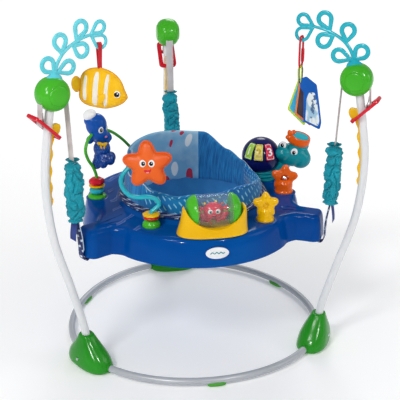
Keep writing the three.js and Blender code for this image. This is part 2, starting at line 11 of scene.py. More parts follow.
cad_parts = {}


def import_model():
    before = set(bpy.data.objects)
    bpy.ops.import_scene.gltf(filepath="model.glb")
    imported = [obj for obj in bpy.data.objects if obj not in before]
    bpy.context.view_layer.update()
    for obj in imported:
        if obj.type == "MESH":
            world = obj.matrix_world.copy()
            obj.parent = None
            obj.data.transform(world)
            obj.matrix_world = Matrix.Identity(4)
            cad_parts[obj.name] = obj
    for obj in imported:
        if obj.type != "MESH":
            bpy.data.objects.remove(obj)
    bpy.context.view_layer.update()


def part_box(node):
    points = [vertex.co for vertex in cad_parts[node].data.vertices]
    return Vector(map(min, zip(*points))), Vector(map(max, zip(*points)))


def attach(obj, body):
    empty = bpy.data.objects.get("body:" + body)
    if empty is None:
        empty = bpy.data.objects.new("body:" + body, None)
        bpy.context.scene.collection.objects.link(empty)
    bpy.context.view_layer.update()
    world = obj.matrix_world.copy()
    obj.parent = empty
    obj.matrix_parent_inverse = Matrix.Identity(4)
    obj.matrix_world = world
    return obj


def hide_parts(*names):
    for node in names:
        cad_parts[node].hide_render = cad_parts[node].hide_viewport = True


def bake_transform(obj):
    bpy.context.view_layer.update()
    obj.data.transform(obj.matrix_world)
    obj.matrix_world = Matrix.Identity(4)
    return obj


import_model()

MM = 0.001
_low, _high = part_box("drum_window")
DRUM = (8.0, -225.0, 417.0)
SHIFT = Vector((1000 * (_low.x + _high.x) / 2 - DRUM[0], 1000 * (_low.y + _high.y) / 2 - DRUM[1], 0))
ARMS = {"left": 210, "right": 330, "back": 90}
PADS = {"left": 150, "right": 30, "front": 270}
ARM_PATH = [(340, 24), (353, 112), (386, 234), (425, 375), (436, 516), (425, 609), (409, 702)]
DECK = 368  # height of the tray's deck
SOLE = DECK - 0.5  # the toys' bases reach this far down, just into the deck
TURN = -10  # bearing along which the flat toys' faces lie
FACING = 300  # bearing the child looks


# ---- small geometry helpers ----
def P(x, y, z):
    """A point in the ring's frame, in mm."""
    return Vector((x, y, z))


def at(deg, r, z, t=0.0):
    """A point by bearing, distance out, height, and offset to the side of the bearing, in mm."""
    c, s = math.cos(math.radians(deg)), math.sin(math.radians(deg))
    return Vector((r * c + t * s, r * s - t * c, z))


def world(v):
    return (Vector(v) + SHIFT) * MM


def lerp(a, b, t):
    return a + (b - a) * t


def smooth(t):
    t = min(1.0, max(0.0, t))
    return t * t * (3 - 2 * t)


def curve(points, count):
    """A smooth line through points (centripetal Catmull-Rom), resampled evenly."""
    pts = [Vector(p) for p in points]
    pts = [2 * pts[0] - pts[1]] + pts + [2 * pts[-1] - pts[-2]]
    fine = []
    for i in range(1, len(pts) - 2):
        p0, p1, p2, p3 = pts[i - 1 : i + 3]
        t0 = 0.0
        t1 = t0 + max((p1 - p0).length, 1e-6) ** 0.5
        t2 = t1 + max((p2 - p1).length, 1e-6) ** 0.5
        t3 = t2 + max((p3 - p2).length, 1e-6) ** 0.5
        for k in range(24):
            t = lerp(t1, t2, k / 24)
            a1 = p0 * ((t1 - t) / (t1 - t0)) + p1 * ((t - t0) / (t1 - t0))
            a2 = p1 * ((t2 - t) / (t2 - t1)) + p2 * ((t - t1) / (t2 - t1))
            a3 = p2 * ((t3 - t) / (t3 - t2)) + p3 * ((t - t2) / (t3 - t2))
            b1 = a1 * ((t2 - t) / (t2 - t0)) + a2 * ((t - t0) / (t2 - t0))
            b2 = a2 * ((t3 - t) / (t3 - t1)) + a3 * ((t - t1) / (t3 - t1))
            fine.append(b1 * ((t2 - t) / (t2 - t1)) + b2 * ((t - t1) / (t2 - t1)))
    fine.append(pts[-2])
    return resample(fine, count)


def resample(pts, count, closed=False):
    pts = [Vector(p) for p in pts] + ([Vector(pts[0])] if closed else [])
    along = [0.0]
    for a, b in zip(pts, pts[1:]):
        along.append(along[-1] + (b - a).length)
    out, j = [], 0
    steps = count if closed else count - 1
    for k in range(count):
        want = along[-1] * k / steps
        while j < len(along) - 2 and along[j + 1] < want:
            j += 1
        gap = along[j + 1] - along[j]
        out.append(pts[j].lerp(pts[j + 1], (want - along[j]) / gap if gap > 0 else 0))
    return out


def make(name, verts, faces, mat, sharp=40, uv=None):
    """A mesh object from points in mm; smooth-shaded, with edges over `sharp` degrees kept crisp."""
    me = bpy.data.meshes.new(name)
    me.from_pydata([world(v) for v in verts], [], faces)
    if uv:
        layer = me.uv_layers.new(name="UVMap")
        for loop, (a, b) in enumerate(uv):
            layer.data[loop].uv = (a, b)
    me.validate()
    bm = bmesh.new()
    bm.from_mesh(me)
    bmesh.ops.recalc_face_normals(bm, faces=bm.faces)
    bm.to_mesh(me)
    bm.free()
    for p in me.polygons:
        p.use_smooth = True
    me.set_sharp_from_angle(angle=math.radians(sharp))
    me.materials.append(mat)
    o = bpy.data.objects.new(name, me)
    bpy.context.scene.collection.objects.link(o)
    return o


def skin(name, rings, mat, joined=False, open_ends=False, sharp=40):
    """A skin over rows of points, with UVs in mm: u round the ring and v along the rows."""
    n, rows = len(rings[0]), len(rings)
    verts = [v for ring in rings for v in ring]
    faces, uv = [], []
    us = [[0.0] for _ in rings]
    for i, ring in enumerate(rings):
        for j in range(n):
            us[i].append(us[i][-1] + (Vector(ring[(j + 1) % n]) - Vector(ring[j])).length)
    vs = [0.0]
    for a, b in zip(rings, rings[1:] + rings[:1]):
        vs.append(vs[-1] + (Vector(a[0]) - Vector(b[0])).length)
    for i in range(rows if joined else rows - 1):
        k = (i + 1) % rows
        for j in range(n):
            m = (j + 1) % n
            faces.append((i * n + j, i * n + m, k * n + m, k * n + j))
            uv += [(us[i][j], vs[i]), (us[i][j + 1], vs[i]), (us[k][j + 1], vs[i + 1]), (us[k][j], vs[i + 1])]
    if not joined and not open_ends:
        for end in (0, rows - 1):
            middle = sum((Vector(v) for v in rings[end]), Vector()) / n
            verts.append(middle)
            for j in range(n):
                faces.append((end * n + j, end * n + (j + 1) % n, len(verts) - 1))
                uv += [(0, 0), (0, 0), (0, 0)]
    return make(name, verts, faces, mat, sharp=sharp, uv=[(a * 0.01, b * 0.01) for a, b in uv])


def frames(path, closed=False, normal=None):
    """A side direction and an up direction at each point of a path."""
    n, out = len(path), []
    last = None
    for i in range(n):
        a = path[(i - 1) % n] if closed or i else path[0]
        b = path[(i + 1) % n] if closed or i < n - 1 else path[-1]
        t = (b - a).normalized()
        if normal is not None:
            side = Vector(normal[i] if isinstance(normal, list) else normal)
            side = (side - t * side.dot(t)).normalized()
        elif last is None:
            side = t.orthogonal().normalized()
        else:
            side = (last - t * last.dot(t)).normalized()
        last = side
        out.append((side, t.cross(side)))
    return out


def sweep(name, path, section, mat, closed=False, normal=None, sharp=40):
    """Carries a cross-section along a path. section is a list of (side, up), or a function of 0..1."""
    fr, rings = frames(path, closed, normal), []
    for i, (c, (s, u)) in enumerate(zip(path, fr)):
        sec = section(i / (len(path) - 1)) if callable(section) else section
        rings.append([c + s * a + u * b for a, b in sec])
    return skin(name, rings, mat, joined=closed, sharp=sharp)


def circle(r, n=20):
    return [(r * math.cos(2 * math.pi * k / n), r * math.sin(2 * math.pi * k / n)) for k in range(n)]


def squircle(a, b, n=24, power=4.0):
    def part(x):
        return math.copysign(abs(x) ** (2 / power), x)

    return [(a * part(math.cos(2 * math.pi * k / n)), b * part(math.sin(2 * math.pi * k / n)))
            for k in range(n)]


def oval(centre, u, v, a, b, n=48, power=2.0):
    return [Vector(centre) + Vector(u) * x + Vector(v) * y for x, y in squircle(a, b, n, power)]


X, Y, Z = Vector((1, 0, 0)), Vector((0, 1, 0)), Vector((0, 0, 1))


def corner(a, b, c, radius, steps):
    """The corner at b, between its neighbours a and c, rounded off."""
    p, q = b + (a - b).normalized() * radius, b + (c - b).normalized() * radius
    return [p * (1 - t) ** 2 + b * 2 * t * (1 - t) + q * t * t for t in [k / steps for k in range(steps + 1)]]


def rounded(rows, radius):
    """A profile with its corners rounded off."""
    out = [Vector((*rows[0], 0))]
    for a, b, c in zip(rows, rows[1:], rows[2:]):
        a, b, c = Vector((*a, 0)), Vector((*b, 0)), Vector((*c, 0))
        out += corner(a, b, c, min(radius, (a - b).length * 0.45, (c - b).length * 0.45), 4)
    out.append(Vector((*rows[-1], 0)))
    return [(v.x, v.y) for v in out]


def lathe(name, centre, rows, mat, axis=Z, n=56, fillet=1.2, wave=None, sharp=50):
    """Turns rows of (radius, height) about an axis through centre. Heights count along the axis."""
    axis = Vector(axis).normalized()
    u = axis.orthogonal().normalized() if abs(axis.z) < 0.999 else X
    v = axis.cross(u)
    rings = []
    for r, h in rounded(rows, fillet):
        ring = []
        for k in range(n):
            a = 2 * math.pi * k / n
            rr = r * (wave(a, h) if wave else 1)
            ring.append(Vector(centre) + axis * h + u * rr * math.cos(a) + v * rr * math.sin(a))
        rings.append(ring)
    return skin(name, rings, mat, sharp=sharp)


def ball(name, centre, size, mat, turn=0, tilt=0, n=32):
    a, b, c = size if isinstance(size, tuple) else (size,) * 3
    rot = Matrix.Rotation(math.radians(turn), 3, "Z") @ Matrix.Rotation(math.radians(tilt), 3, "Y")
    rings = []
    for i in range(1, n // 2):
        w = math.pi * i / (n // 2)
        out, rise = math.sin(w), -c * math.cos(w)
        turns = [2 * math.pi * k / n for k in range(n)]
        rings.append([Vector(centre) + rot @ Vector((a * out * math.cos(t), b * out * math.sin(t), rise))
                      for t in turns])
    top, bottom = rot @ Vector((0, 0, c)), rot @ Vector((0, 0, -c))
    verts = [v for r in rings for v in r] + [Vector(centre) + bottom, Vector(centre) + top]
    rows, faces = len(rings), []
    for i in range(rows - 1):
        for j in range(n):
            m = (j + 1) % n
            faces.append((i * n + j, i * n + m, (i + 1) * n + m, (i + 1) * n + j))
    for j in range(n):
        m = (j + 1) % n
        faces.append((j, rows * n, m))
        faces.append(((rows - 1) * n + j, (rows - 1) * n + m, rows * n + 1))
    return make(name, verts, faces, mat, sharp=180)


def pillow(name, origin, deg, outline, thick, mat, power=2.4, rings=10, edge=1.0):
    """A stuffed flat shape: an outline of (across, up) points, thickest in its middle.
    The outline stands upright along a bearing, and its sides meet in a seam."""
    u, n = at(deg, 1, 0), at(deg, 0, 0, 1)
    pts = [Vector((x, y)) for x, y in outline]
    mid = sum(pts, Vector((0, 0))) / len(pts)
    verts, faces, m = [], [], len(pts)
    for side in (1, -1):
        for k in range(rings):
            s = 1 - (k / rings) ** 1.5 if k else 1.0
            lift = max(0.0, 1 - s ** power) ** (1 / 2.0)
            for p in pts:
                q = mid + (p - mid) * s
                half = edge / 2 + (thick - edge) / 2 * lift
                verts.append(Vector(origin) + u * q.x + Z * q.y + n * side * half)
        verts.append(Vector(origin) + u * mid.x + Z * mid.y + n * side * thick / 2)
    half = m * rings + 1
    for side in (0, 1):
        base = side * half
        for k in range(rings - 1):
            for j in range(m):
                a, b = base + k * m + j, base + k * m + (j + 1) % m
                faces.append((a, b, b + m, a + m))
        for j in range(m):
            faces.append((base + (rings - 1) * m + j, base + (rings - 1) * m + (j + 1) % m, base + rings * m))
    for j in range(m):
        faces.append((j, (j + 1) % m, half + (j + 1) % m, half + j))
    return make(name, verts, faces, mat, sharp=75)


def apply_all(o):
    """Applies an object's modifiers."""
    bpy.context.view_layer.update()
    dg = bpy.context.evaluated_depsgraph_get()
    me = bpy.data.meshes.new_from_object(o.evaluated_get(dg), depsgraph=dg)
    me.name = o.name
    o.modifiers.clear()
    o.data = me
    for p in me.polygons:
        p.use_smooth = True
    return o


def merged(name, parts, mat, voxel, relax):
    """Melts overlapping closed parts into one smooth skin."""
    verts, faces = [], []
    for o in parts:
        base = len(verts)
        verts += [v.co.copy() for v in o.data.vertices]
        faces += [tuple(base + i for i in p.vertices) for p in o.data.polygons]
        bpy.data.objects.remove(o)
    me = bpy.data.meshes.new(name)
    me.from_pydata(verts, [], faces)
    me.materials.append(mat)
    o = bpy.data.objects.new(name, me)
    bpy.context.scene.collection.objects.link(o)
    m = o.modifiers.new("melt", "REMESH")
    m.mode, m.voxel_size, m.use_smooth_shade = "VOXEL", voxel * MM, True
    s = o.modifiers.new("relax", "SMOOTH")
    s.factor, s.iterations = 0.5, relax
    return apply_all(o)


def blob(name, origin, lumps, mat, voxel, relax):
    """One smooth skin over lumps. A lump is its place from the origin, its half sizes, and any lean."""
    parts = [ball("lump", origin + P(*spot), size, mat, *lean) for spot, size, *lean in lumps]
    return merged(name, parts, mat, voxel, relax)


def round_edges(o, width, angle):
    b = o.modifiers.new("edge", "BEVEL")
    b.width, b.segments, b.limit_method, b.angle_limit = width * MM, 3, "ANGLE", math.radians(angle)
    b.harden_normals = False


def cut(o, tools, sharp=40, bevel=0.0):
    """Cuts closed tools from o, then rounds the new edges a little."""
    for t in tools:
        m = o.modifiers.new("cut", "BOOLEAN")
        m.operation, m.solver, m.object = "DIFFERENCE", "EXACT", t
    if bevel:
        round_edges(o, bevel, 40)
    apply_all(o)
    o.data.set_sharp_from_angle(angle=math.radians(sharp))
    for t in tools:
        bpy.data.objects.remove(t)
    return o


# ---- what each piece moves with ----
def tell(o, nodes):
    if nodes:
        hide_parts(*nodes)
    return o


def ride(o, body, slot, *nodes):
    """Puts a piece on a body and hides the CAD nodes that it stands for; its slot is not used."""
    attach(o, body)
    return tell(o, nodes)


def mix_line(o, a, b, start, end, slot, *nodes):
    """For a piece that stretches from one body to another: bakes its placement into its mesh and hides the
    CAD nodes that it stands for. The bodies a and b and the points start and end are not used.
    """
    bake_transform(o)
    return tell(o, nodes)


# ---- materials ----
def linear(hexa):
    def one(v):
        v /= 255
        return v / 12.92 if v <= 0.04045 else ((v + 0.055) / 1.055) ** 2.4

    return tuple(one(int(hexa[i : i + 2], 16)) for i in (0, 2, 4)) + (1.0,)


class Nodes:
    """A material and short ways to add nodes to it."""

    def __init__(self, name, colour, rough=0.3, **sockets):
        self.mat = bpy.data.materials.new(name)
        self.mat.use_nodes = True
        self.tree = self.mat.node_tree
        self.shader = self.tree.nodes["Principled BSDF"]
        self.put(self.shader, "Base Color", linear(colour))
        self.put(self.shader, "Roughness", rough)
        self.mat.diffuse_color = linear(colour)
        for key, value in sockets.items():
            self.put(self.shader, key.replace("_", " "), value)
        self.coords = self.tree.nodes.new("ShaderNodeTexCoord")

    def put(self, node, socket, value):
        if isinstance(value, bpy.types.NodeSocket):
            self.tree.links.new(value, node.inputs[socket])
        else:
            node.inputs[socket].default_value = value

    def add(self, kind, out=0, props=None, **sockets):
        node = self.tree.nodes.new("ShaderNode" + kind)
        for key, value in (props or {}).items():
            setattr(node, key, value)
        for key, value in sockets.items():
            self.put(node, key.replace("_", " "), value)
        return node.outputs[out]

    def where(self, kind="Object"):
        return self.coords.outputs[kind]

    def moved(self, kind="Object", scale=(1, 1, 1), rotate=(0, 0, 0), shift=(0, 0, 0)):
        return self.add("Mapping", Vector=self.where(kind), Scale=scale, Rotation=rotate, Location=shift)

    def parts(self, vector):
        """The x, y and z of a vector."""
        node = self.tree.nodes.new("ShaderNodeSeparateXYZ")
        self.put(node, 0, vector)
        return node.outputs

    def noise(self, scale, detail, vector=None):
        return self.add("TexNoise", Vector=vector or self.where(), Scale=scale, Detail=detail)

    def ramp(self, value, stops):
        node = self.tree.nodes.new("ShaderNodeValToRGB")
        el = node.color_ramp.elements
        while len(el) < len(stops):
            el.new(0.5)
        for e, (pos, col) in zip(el, stops):
            e.position = pos
            e.color = linear(col) if isinstance(col, str) else (col, col, col, 1)
        self.put(node, "Fac", value)
        return node.outputs["Color"]

    def math(self, op, a, b=0.0):
        node = self.tree.nodes.new("ShaderNodeMath")
        node.operation = op
        self.put(node, 0, a)
        self.put(node, 1, b)
        return node.outputs[0]

    def mix(self, fac, a, b):
        node = self.tree.nodes.new("ShaderNodeMix")
        node.data_type = "RGBA"
        for i, v in ((0, fac), (6, a), (7, b)):
            self.put(node, i, linear(v) if isinstance(v, str) else v)
        return node.outputs[2]

    def mottled(self, colour, shade, scale, detail, low=0.35, high=0.7):
        """Two close colours in soft patches."""
        return self.mix(self.ramp(self.noise(scale, detail), [(low, 0.0), (high, 1.0)]), colour, shade)

    def colour(self, value):
        self.put(self.shader, "Base Color", value)

    def rough(self, value, low, high):
        self.put(self.shader, "Roughness", self.add("MapRange", Value=value, To_Min=low, To_Max=high))

    def bump(self, height, strength, distance):
        out = self.add("Bump", Height=height, Strength=strength, Distance=distance)
        self.put(self.shader, "Normal", out)


def plastic(name, colour, shade, rough=0.16):
    """Glossy moulded plastic: slight flow variation, faint orange peel and handling wear."""
    n = Nodes(name, colour, rough, IOR=1.5, Specular_IOR_Level=0.2)
    n.colour(n.mottled(colour, shade, 9, 2))
    n.rough(n.noise(55, 5), rough * 0.75, rough * 1.5)
    n.bump(n.noise(420, 2), 0.06, 0.0004)
    return n.mat


def soft_vinyl(name, colour, shade, rough=0.42, pips=False):
    """Soft matt vinyl, with moulded pips where the toy has them."""
    n = Nodes(name, colour, rough, Sheen_Weight=0.03, IOR=1.48, Specular_IOR_Level=0.3)
    n.colour(n.mottled(colour, shade, 14, 3, 0.3, 0.75))
    n.rough(n.noise(90, 4), rough * 0.85, rough * 1.25)
    if pips:
        cells = n.add("TexVoronoi", 0, Vector=n.where(), Scale=150.0)
        n.bump(n.ramp(cells, [(0.0, 1.0), (0.42, 0.0)]), 0.35, 0.0006)
    else:
        n.bump(n.noise(600, 2), 0.08, 0.0003)
    return n.mat


def plain(n, colour, shade):
    return n.mottled(colour, shade, 26, 4, 0.3, 0.72)


def cloth(name, colour, shade, kind="Object", weave=900, rough=0.85, sheen=0.35, print_=None, wrinkle=0.0):
    """Woven cloth: crossed threads, soft colour variation, and an optional print."""
    n = Nodes(name, colour, rough, Sheen_Weight=sheen, Sheen_Roughness=0.4, IOR=1.4, Specular_IOR_Level=0.25)
    n.colour((print_ or plain)(n, colour, shade))
    size = weave * (1.0 if kind == "Object" else 0.1)
    across = "Z" if kind == "Object" else "Y"
    waves = dict(Vector=n.where(kind), Scale=size, Distortion=0.6)
    warp = n.add("TexWave", 1, props={"bands_direction": "X"}, **waves)
    weft = n.add("TexWave", 1, props={"bands_direction": across}, **waves)
    height = n.math("MAXIMUM", warp, weft)
    if wrinkle:
        height = n.math("ADD", height, n.math("MULTIPLY", n.noise(45, 4), wrinkle))
    n.bump(height, 0.3, 0.0006)
    n.rough(n.noise(60, 4), rough * 0.92, min(1.0, rough * 1.1))
    return n.mat


def metal(name, colour, scale, detail, low, high):
    """Bright metal, with its polish between low and high roughness."""
    n = Nodes(name, colour, low, Metallic=1.0)
    n.rough(n.noise(scale, detail), low, high)
    return n.mat


GREEN = plastic("green_plastic", "3fae22", "4dbb2b")
YELLOW = plastic("yellow_plastic", "eab200", "f0bd04")
RED = plastic("red_plastic", "cc1428", "d81c34")
BLUE = plastic("tray_plastic", "00418e", "00509e", rough=0.12)
# A lighter copy of the aqua plastic, for the left kelp only: painted light on the side that takes more light.
CYAN_PAINTED_LIGHT = plastic("cyan_plastic", "5ccddc", "70d8e4", rough=0.22)
AQUA = plastic("aqua_plastic", "1fa9bb", "2cb6c6")
TEAL = plastic("teal_plastic", "018490", "04919f")
OCTO = plastic("octopus_plastic", "0147a0", "0350ac")
NAVY = plastic("navy_plastic", "0a1354", "0e1a62")
ORANGE = plastic("orange_plastic", "e65808", "ee6610")
WHITE = plastic("white_plastic", "f2f2f2", "e9ebee", rough=0.25)
BLACK = plastic("black_plastic", "0c0c10", "14141a", rough=0.12)
PINKRED = plastic("pink_red_plastic", "d9133a", "e2264a")
GREY_METAL = metal("spring_steel", "b9bdc2", 200, 3, 0.2, 0.38)
MIRROR = metal("mirror_ball", "f4f6f8", 150, 4, 0.03, 0.09)
STAR_SKIN = soft_vinyl("orange_vinyl", "e25200", "ea6206", pips=True)
PAD_RUBBER = soft_vinyl("green_rubber", "3f9a2a", "49a433", rough=0.6)


def painted_tube(name, colour, shade):
    n = Nodes(name, colour, 0.3, Coat_Weight=0.3, Coat_Roughness=0.2)
    n.colour(n.mottled(colour, shade, 7, 4, 0.3, 0.8))
    n.rough(n.noise(35, 6), 0.28, 0.45)
    n.bump(n.noise(900, 3), 0.12, 0.0004)
    return n.mat


TUBE = painted_tube("white_powder_coat", "e4e5e7", "d8dbde")
# A greyer copy of the white tube paint for the floor ring: painted shade, to hold down the light that the
# ring's top takes from above.
RING_SHADED_PAINT = painted_tube("ring_paint_painted_shade", "b4b8be", "a6abb2")
FOOT_GREEN = plastic("foot_plastic", "1f8a1c", "2a9624")


def floor_material():
    """White studio floor, which glows more the further it is from the object."""
    n = Nodes("studio_floor", "f4f4f5", 0.6, Emission_Color=(1, 1, 1, 1), Emission_Strength=0.4)
    n.rough(n.noise(3, 2), 0.55, 0.7)
    far = n.tree.nodes.new("ShaderNodeVectorMath")
    far.operation = "LENGTH"
    n.put(far, 0, n.where())
    span = n.tree.nodes.new("ShaderNodeMapRange")
    n.put(span, 0, far.outputs["Value"])
    for socket, value in zip(("From Min", "From Max", "To Min", "To Max"), (0.5, 4.5, 0.17, 0.62)):
        span.inputs[socket].default_value = value
    n.tree.links.new(span.outputs[0], n.shader.inputs["Emission Strength"])
    return n.mat


# ---- floor ring, feet, pads and arms ----
RING_TUBE, RING_HEIGHT, ARM_TUBE = 9, 13, 10  # tube radii, and the height of the ring's middle


def ring_radius(deg):
    """The ring is a circle with three slight bulges."""
    return 330 + 7 * math.cos(math.radians(3 * (deg - 90)))


ring_path = [at(1.5 * k, ring_radius(1.5 * k), RING_HEIGHT) for k in range(240)]
# the ring wears the greyer copy of the tubes' paint: painted shade
ring = sweep("floor_ring", ring_path, circle(RING_TUBE, 24), RING_SHADED_PAINT, closed=True, normal=Z)
ride(ring, "frame", "white_tube", "base_ring")


def arm_path(deg):
    return curve([at(deg, r, z) for r, z in ARM_PATH], 90)


profile = curve([(r, 0, z) for r, z in ARM_PATH], 200)


def arm_radius(z):
    for a, b in zip(profile, profile[1:]):
        if a.z <= z <= b.z:
            return lerp(a.x, b.x, (z - a.z) / (b.z - a.z))
    return profile[-1].x


# height, distance out and half sizes
FOOT = [(0, 336, 34, 64), (1.5, 336, 37, 68), (5, 337, 40, 71), (12, 338, 40, 71), (26, 339, 38, 66),
        (38, 340.5, 35, 58), (50, 342, 31, 47), (61, 343.5, 27, 37), (72, 345, 23, 28), (80, 346, 20, 22.5),
        (85, 346.6, 18, 19.6), (88, 347, 16.6, 17.4), (88.6, 347, 14.5, 15), (88, 347, 12, 12.2)]
for side, deg in ARMS.items():
    ride(sweep("tube_arm_" + side, arm_path(deg), circle(ARM_TUBE, 28), TUBE), "frame", "white_tube",
         "arm_" + side)
    u, v = at(deg, 1, 0), at(deg, 0, 0, 1)
    rings = [oval(at(deg, r, z), u, v, a, b, 72, 2.5) for z, r, a, b in FOOT]
    ride(skin("foot_shell_" + side, rings, FOOT_GREEN, sharp=70), "frame", "green_plastic", "foot_" + side)
    # collars where the ring enters, and the screw on the outer face
    for s, tag in ((-1, "a"), (1, "b")):
        arc = [at(deg + s * k / 4, ring_radius(deg + s * k / 4), RING_HEIGHT) for k in range(40, 51)]
        ride(sweep(f"foot_collar_{side}_{tag}", arc, circle(11.2, 32), FOOT_GREEN, normal=Z), "frame",
             "green_plastic")
    ride(lathe("foot_screw_" + side, at(deg, 378.5, 26),
               [(0, -2), (4.2, -2), (4.2, 0.6), (1.6, 0.9), (1.6, -0.6), (0, -0.6)], GREY_METAL,
               axis=at(deg, 1, 0), n=28, fillet=0.4), "frame", "spring_steel")
PAD = ((0, 7.5, 20), (1.5, 10, 22.5), (4, 11, 23.4), (7, 11.4, 23.6), (9.5, 11, 23), (10.6, 10, 21.5))
for side, deg in PADS.items():
    u, v = at(deg, 1, 0), at(deg, 0, 0, 1)
    rings = [oval(at(deg, ring_radius(deg), z), u, v, a, b, 48, 3) for z, a, b in PAD]
    ride(skin("ring_pad_" + side, rings, PAD_RUBBER), "frame", "green_rubber", "pad_" + side)

# ---- hubs ----
HUB_RADIUS, HUB_REACH, HUB_POWER = 38.5, 32.0, 2.7


def bulge(rho):
    """A hub face's height over the hub's middle plane, by distance from its axis."""
    return HUB_REACH * max(0.0, 1 - (rho / HUB_RADIUS) ** HUB_POWER) ** (1 / HUB_POWER)


hub_rows = [(0, 32.6), (12, 32.3), (19, 31.4), (21.8, 30.4), (22.4, 29.0), (23.6, 27.8), (24.6, 28.2)]
for rho in [HUB_RADIUS * math.sin(math.pi / 2 * k / 25) for k in range(26)]:
    if rho > 25.5:  # outside the ring that is pressed into the face
        hub_rows.append((rho, bulge(rho)))
hub_rows = hub_rows + [(r, -d) for r, d in reversed(hub_rows[:-1])]
for side, deg in ARMS.items():
    ride(lathe("hub_shell_" + side, at(deg, 404, 712), [(r, -d) for r, d in hub_rows], GREEN,
               axis=at(deg, 0, 0, 1), n=80, fillet=0.5, sharp=60), "frame", "green_plastic", "hub_" + side)


# ---- cloths ----
def strokes(n, vector, pu, pv, lu, lv):
    """A mask of short strokes in staggered rows."""
    x, y, _ = n.parts(vector)
    u, v = n.math("DIVIDE", x, pu), n.math("DIVIDE", y, pv)
    shifted = n.math("ADD", u, n.math("MULTIPLY", n.math("FLOOR", v), 0.37))
    return n.math("MULTIPLY", n.math("LESS_THAN", n.math("FRACT", shifted), lu),
                  n.math("LESS_THAN", n.math("FRACT", v), lv))


def dash_print(n, colour, shade):
    """Short pale strokes on two blues."""
    at_uv = n.moved("UV", rotate=(0, 0, 0.5))
    light = strokes(n, at_uv, 0.17, 0.085, 0.52, 0.24)
    return n.mix(light, n.mottled(colour, shade, 11, 3), "86cbe4")


def spot_print(n, colour, shade):
    """Scattered red and white spots."""
    cells = n.tree.nodes.new("ShaderNodeTexVoronoi")
    n.put(cells, "Vector", n.where("UV"))
    n.put(cells, "Scale", 3.2)
    pick = n.parts(cells.outputs["Color"])[0]
    spot = n.math("LESS_THAN", cells.outputs["Distance"], 0.34)
    red = n.math("MULTIPLY", spot, n.math("GREATER_THAN", pick, 0.62))
    white = n.math("MULTIPLY", spot, n.math("LESS_THAN", pick, 0.34))
    ground = n.mottled(colour, shade, 16, 3, 0.4, 0.62)
    return n.mix(red, n.mix(white, ground, "eef5f8"), "c8324f")


def band_print(n, colour, shade):
    """Wide pale strokes."""
    light = strokes(n, n.moved("UV", rotate=(0, 0, -0.35)), 0.26, 0.13, 0.4, 0.42)
    return n.mix(light, plain(n, colour, shade), "cfe0ee")


def fold_shade_streaks(n, colour, shade):
    """Painted shade: darker streaks that run up the cloth, like the shade in its upright folds."""
    streak = n.noise(30, 3, n.moved("UV", scale=(1.0, 0.12, 1.0)))
    return n.mix(n.ramp(streak, [(0.38, 0.0), (0.62, 1.0)]), plain(n, colour, shade), "1466a8")


def fish_print(n, colour, shade):
    return n.mottled(colour, shade, 30, 3)


WEBBING = cloth("webbing", "bdb8b9", "cfcbcb", kind="UV", weave=260, rough=0.8, sheen=0.2)
NAVY_PRINT = cloth("navy_print", "14235c", "1b2c6e", kind="UV", weave=420, print_=band_print)
RUCHED = cloth("ruched_teal", "068a9c", "14a4b8", weave=500, rough=0.6, sheen=0.12, wrinkle=0.8)
# the seat's outside carries painted shade: darker streaks up the cloth
SEAT_OUT = cloth("seat_outside", "1f82c4", "2b93d2", kind="UV", weave=420, print_=fold_shade_streaks, wrinkle=0.8)
SEAT_FRONT = cloth("seat_bolster", "0d68b6", "0880b4", kind="UV", weave=420, print_=dash_print, wrinkle=0.8)
SEAT_IN = cloth("seat_lining", "7db8de", "a9d2ea", kind="UV", weave=420, print_=spot_print)
SEAT_BOWL = cloth("seat_bowl", "2a78b8", "3488c6", weave=450, wrinkle=0.8)
PIPING = cloth("piping", "cfe3f0", "bcd6e8", weave=500)
NAVY_TRIM = cloth("navy_trim", "101b4c", "17245c", weave=500)
PLUSH = cloth("fish_plush", "f5b301", "fbc520", weave=330, rough=0.95, sheen=0.25, print_=fish_print,
              wrinkle=1.0)
PLUSH_DARK = cloth("fish_plush_edge", "e79a00", "f0a808", weave=330, rough=0.95, sheen=0.6)
PLUSH_WHITE = cloth("fish_stripe", "f3eee4", "e9e2d6", weave=330, rough=0.95, sheen=0.8, wrinkle=1.0)
FLAP = cloth("hanger_flap", "26387e", "3d5196", weave=420, sheen=0.1, wrinkle=0.8)
RIBBON = cloth("red_ribbon", "c40d1f", "d3142a", weave=700, rough=0.5, sheen=0.5)
PAGE_LIME = cloth("page_lime", "b9d532", "c6df45", weave=420)
PAGE_CYAN = cloth("page_cyan", "2aa4d4", "3fb2de", weave=420)
PAGE_DARK = cloth("page_dark", "3a2f38", "4a3c46", weave=420)
PAGE_ORANGE = cloth("page_orange", "e8742a", "ee8238", weave=420)
PAGE_BLUE = cloth("page_blue", "0353ac", "0a62be", weave=420, sheen=0.1)
CORD = cloth("dark_cord", "3c3b34", "55534a", weave=900)


def picture_material():
    """The cover's picture: a pale patch of splashes on blue."""
    n = Nodes("page_picture", "c9dbe6", 0.85, Sheen_Weight=0.3)
    a = n.noise(38, 4, n.moved("Object", scale=(1, 1, 0.8)))
    b = n.noise(64, 3, n.moved("Object", shift=(3, 1, 2)))
    pale = n.mix(n.ramp(a, [(0.42, 0.0), (0.5, 1.0)]), "9cc3dc", "e4ecee")
    n.colour(n.mix(n.ramp(b, [(0.6, 0.0), (0.64, 1.0)]), pale, "3b5f8c"))
    n.bump(n.noise(500, 2), 0.2, 0.0004)
    return n.mat


PICTURE = picture_material()


def octopus_skirt():
    n = Nodes("octopus_skirt", "01409a", 0.2, IOR=1.5, Specular_IOR_Level=0.3)
    cells = n.add("TexVoronoi", 0, Vector=n.where(), Scale=190.0)
    pips = n.ramp(cells, [(0.0, 1.0), (0.4, 0.0)])
    n.colour(n.mix(pips, "083f95", "3f7ad2"))
    n.bump(pips, 0.5, 0.0008)
    return n.mat


SKIRT = octopus_skirt()


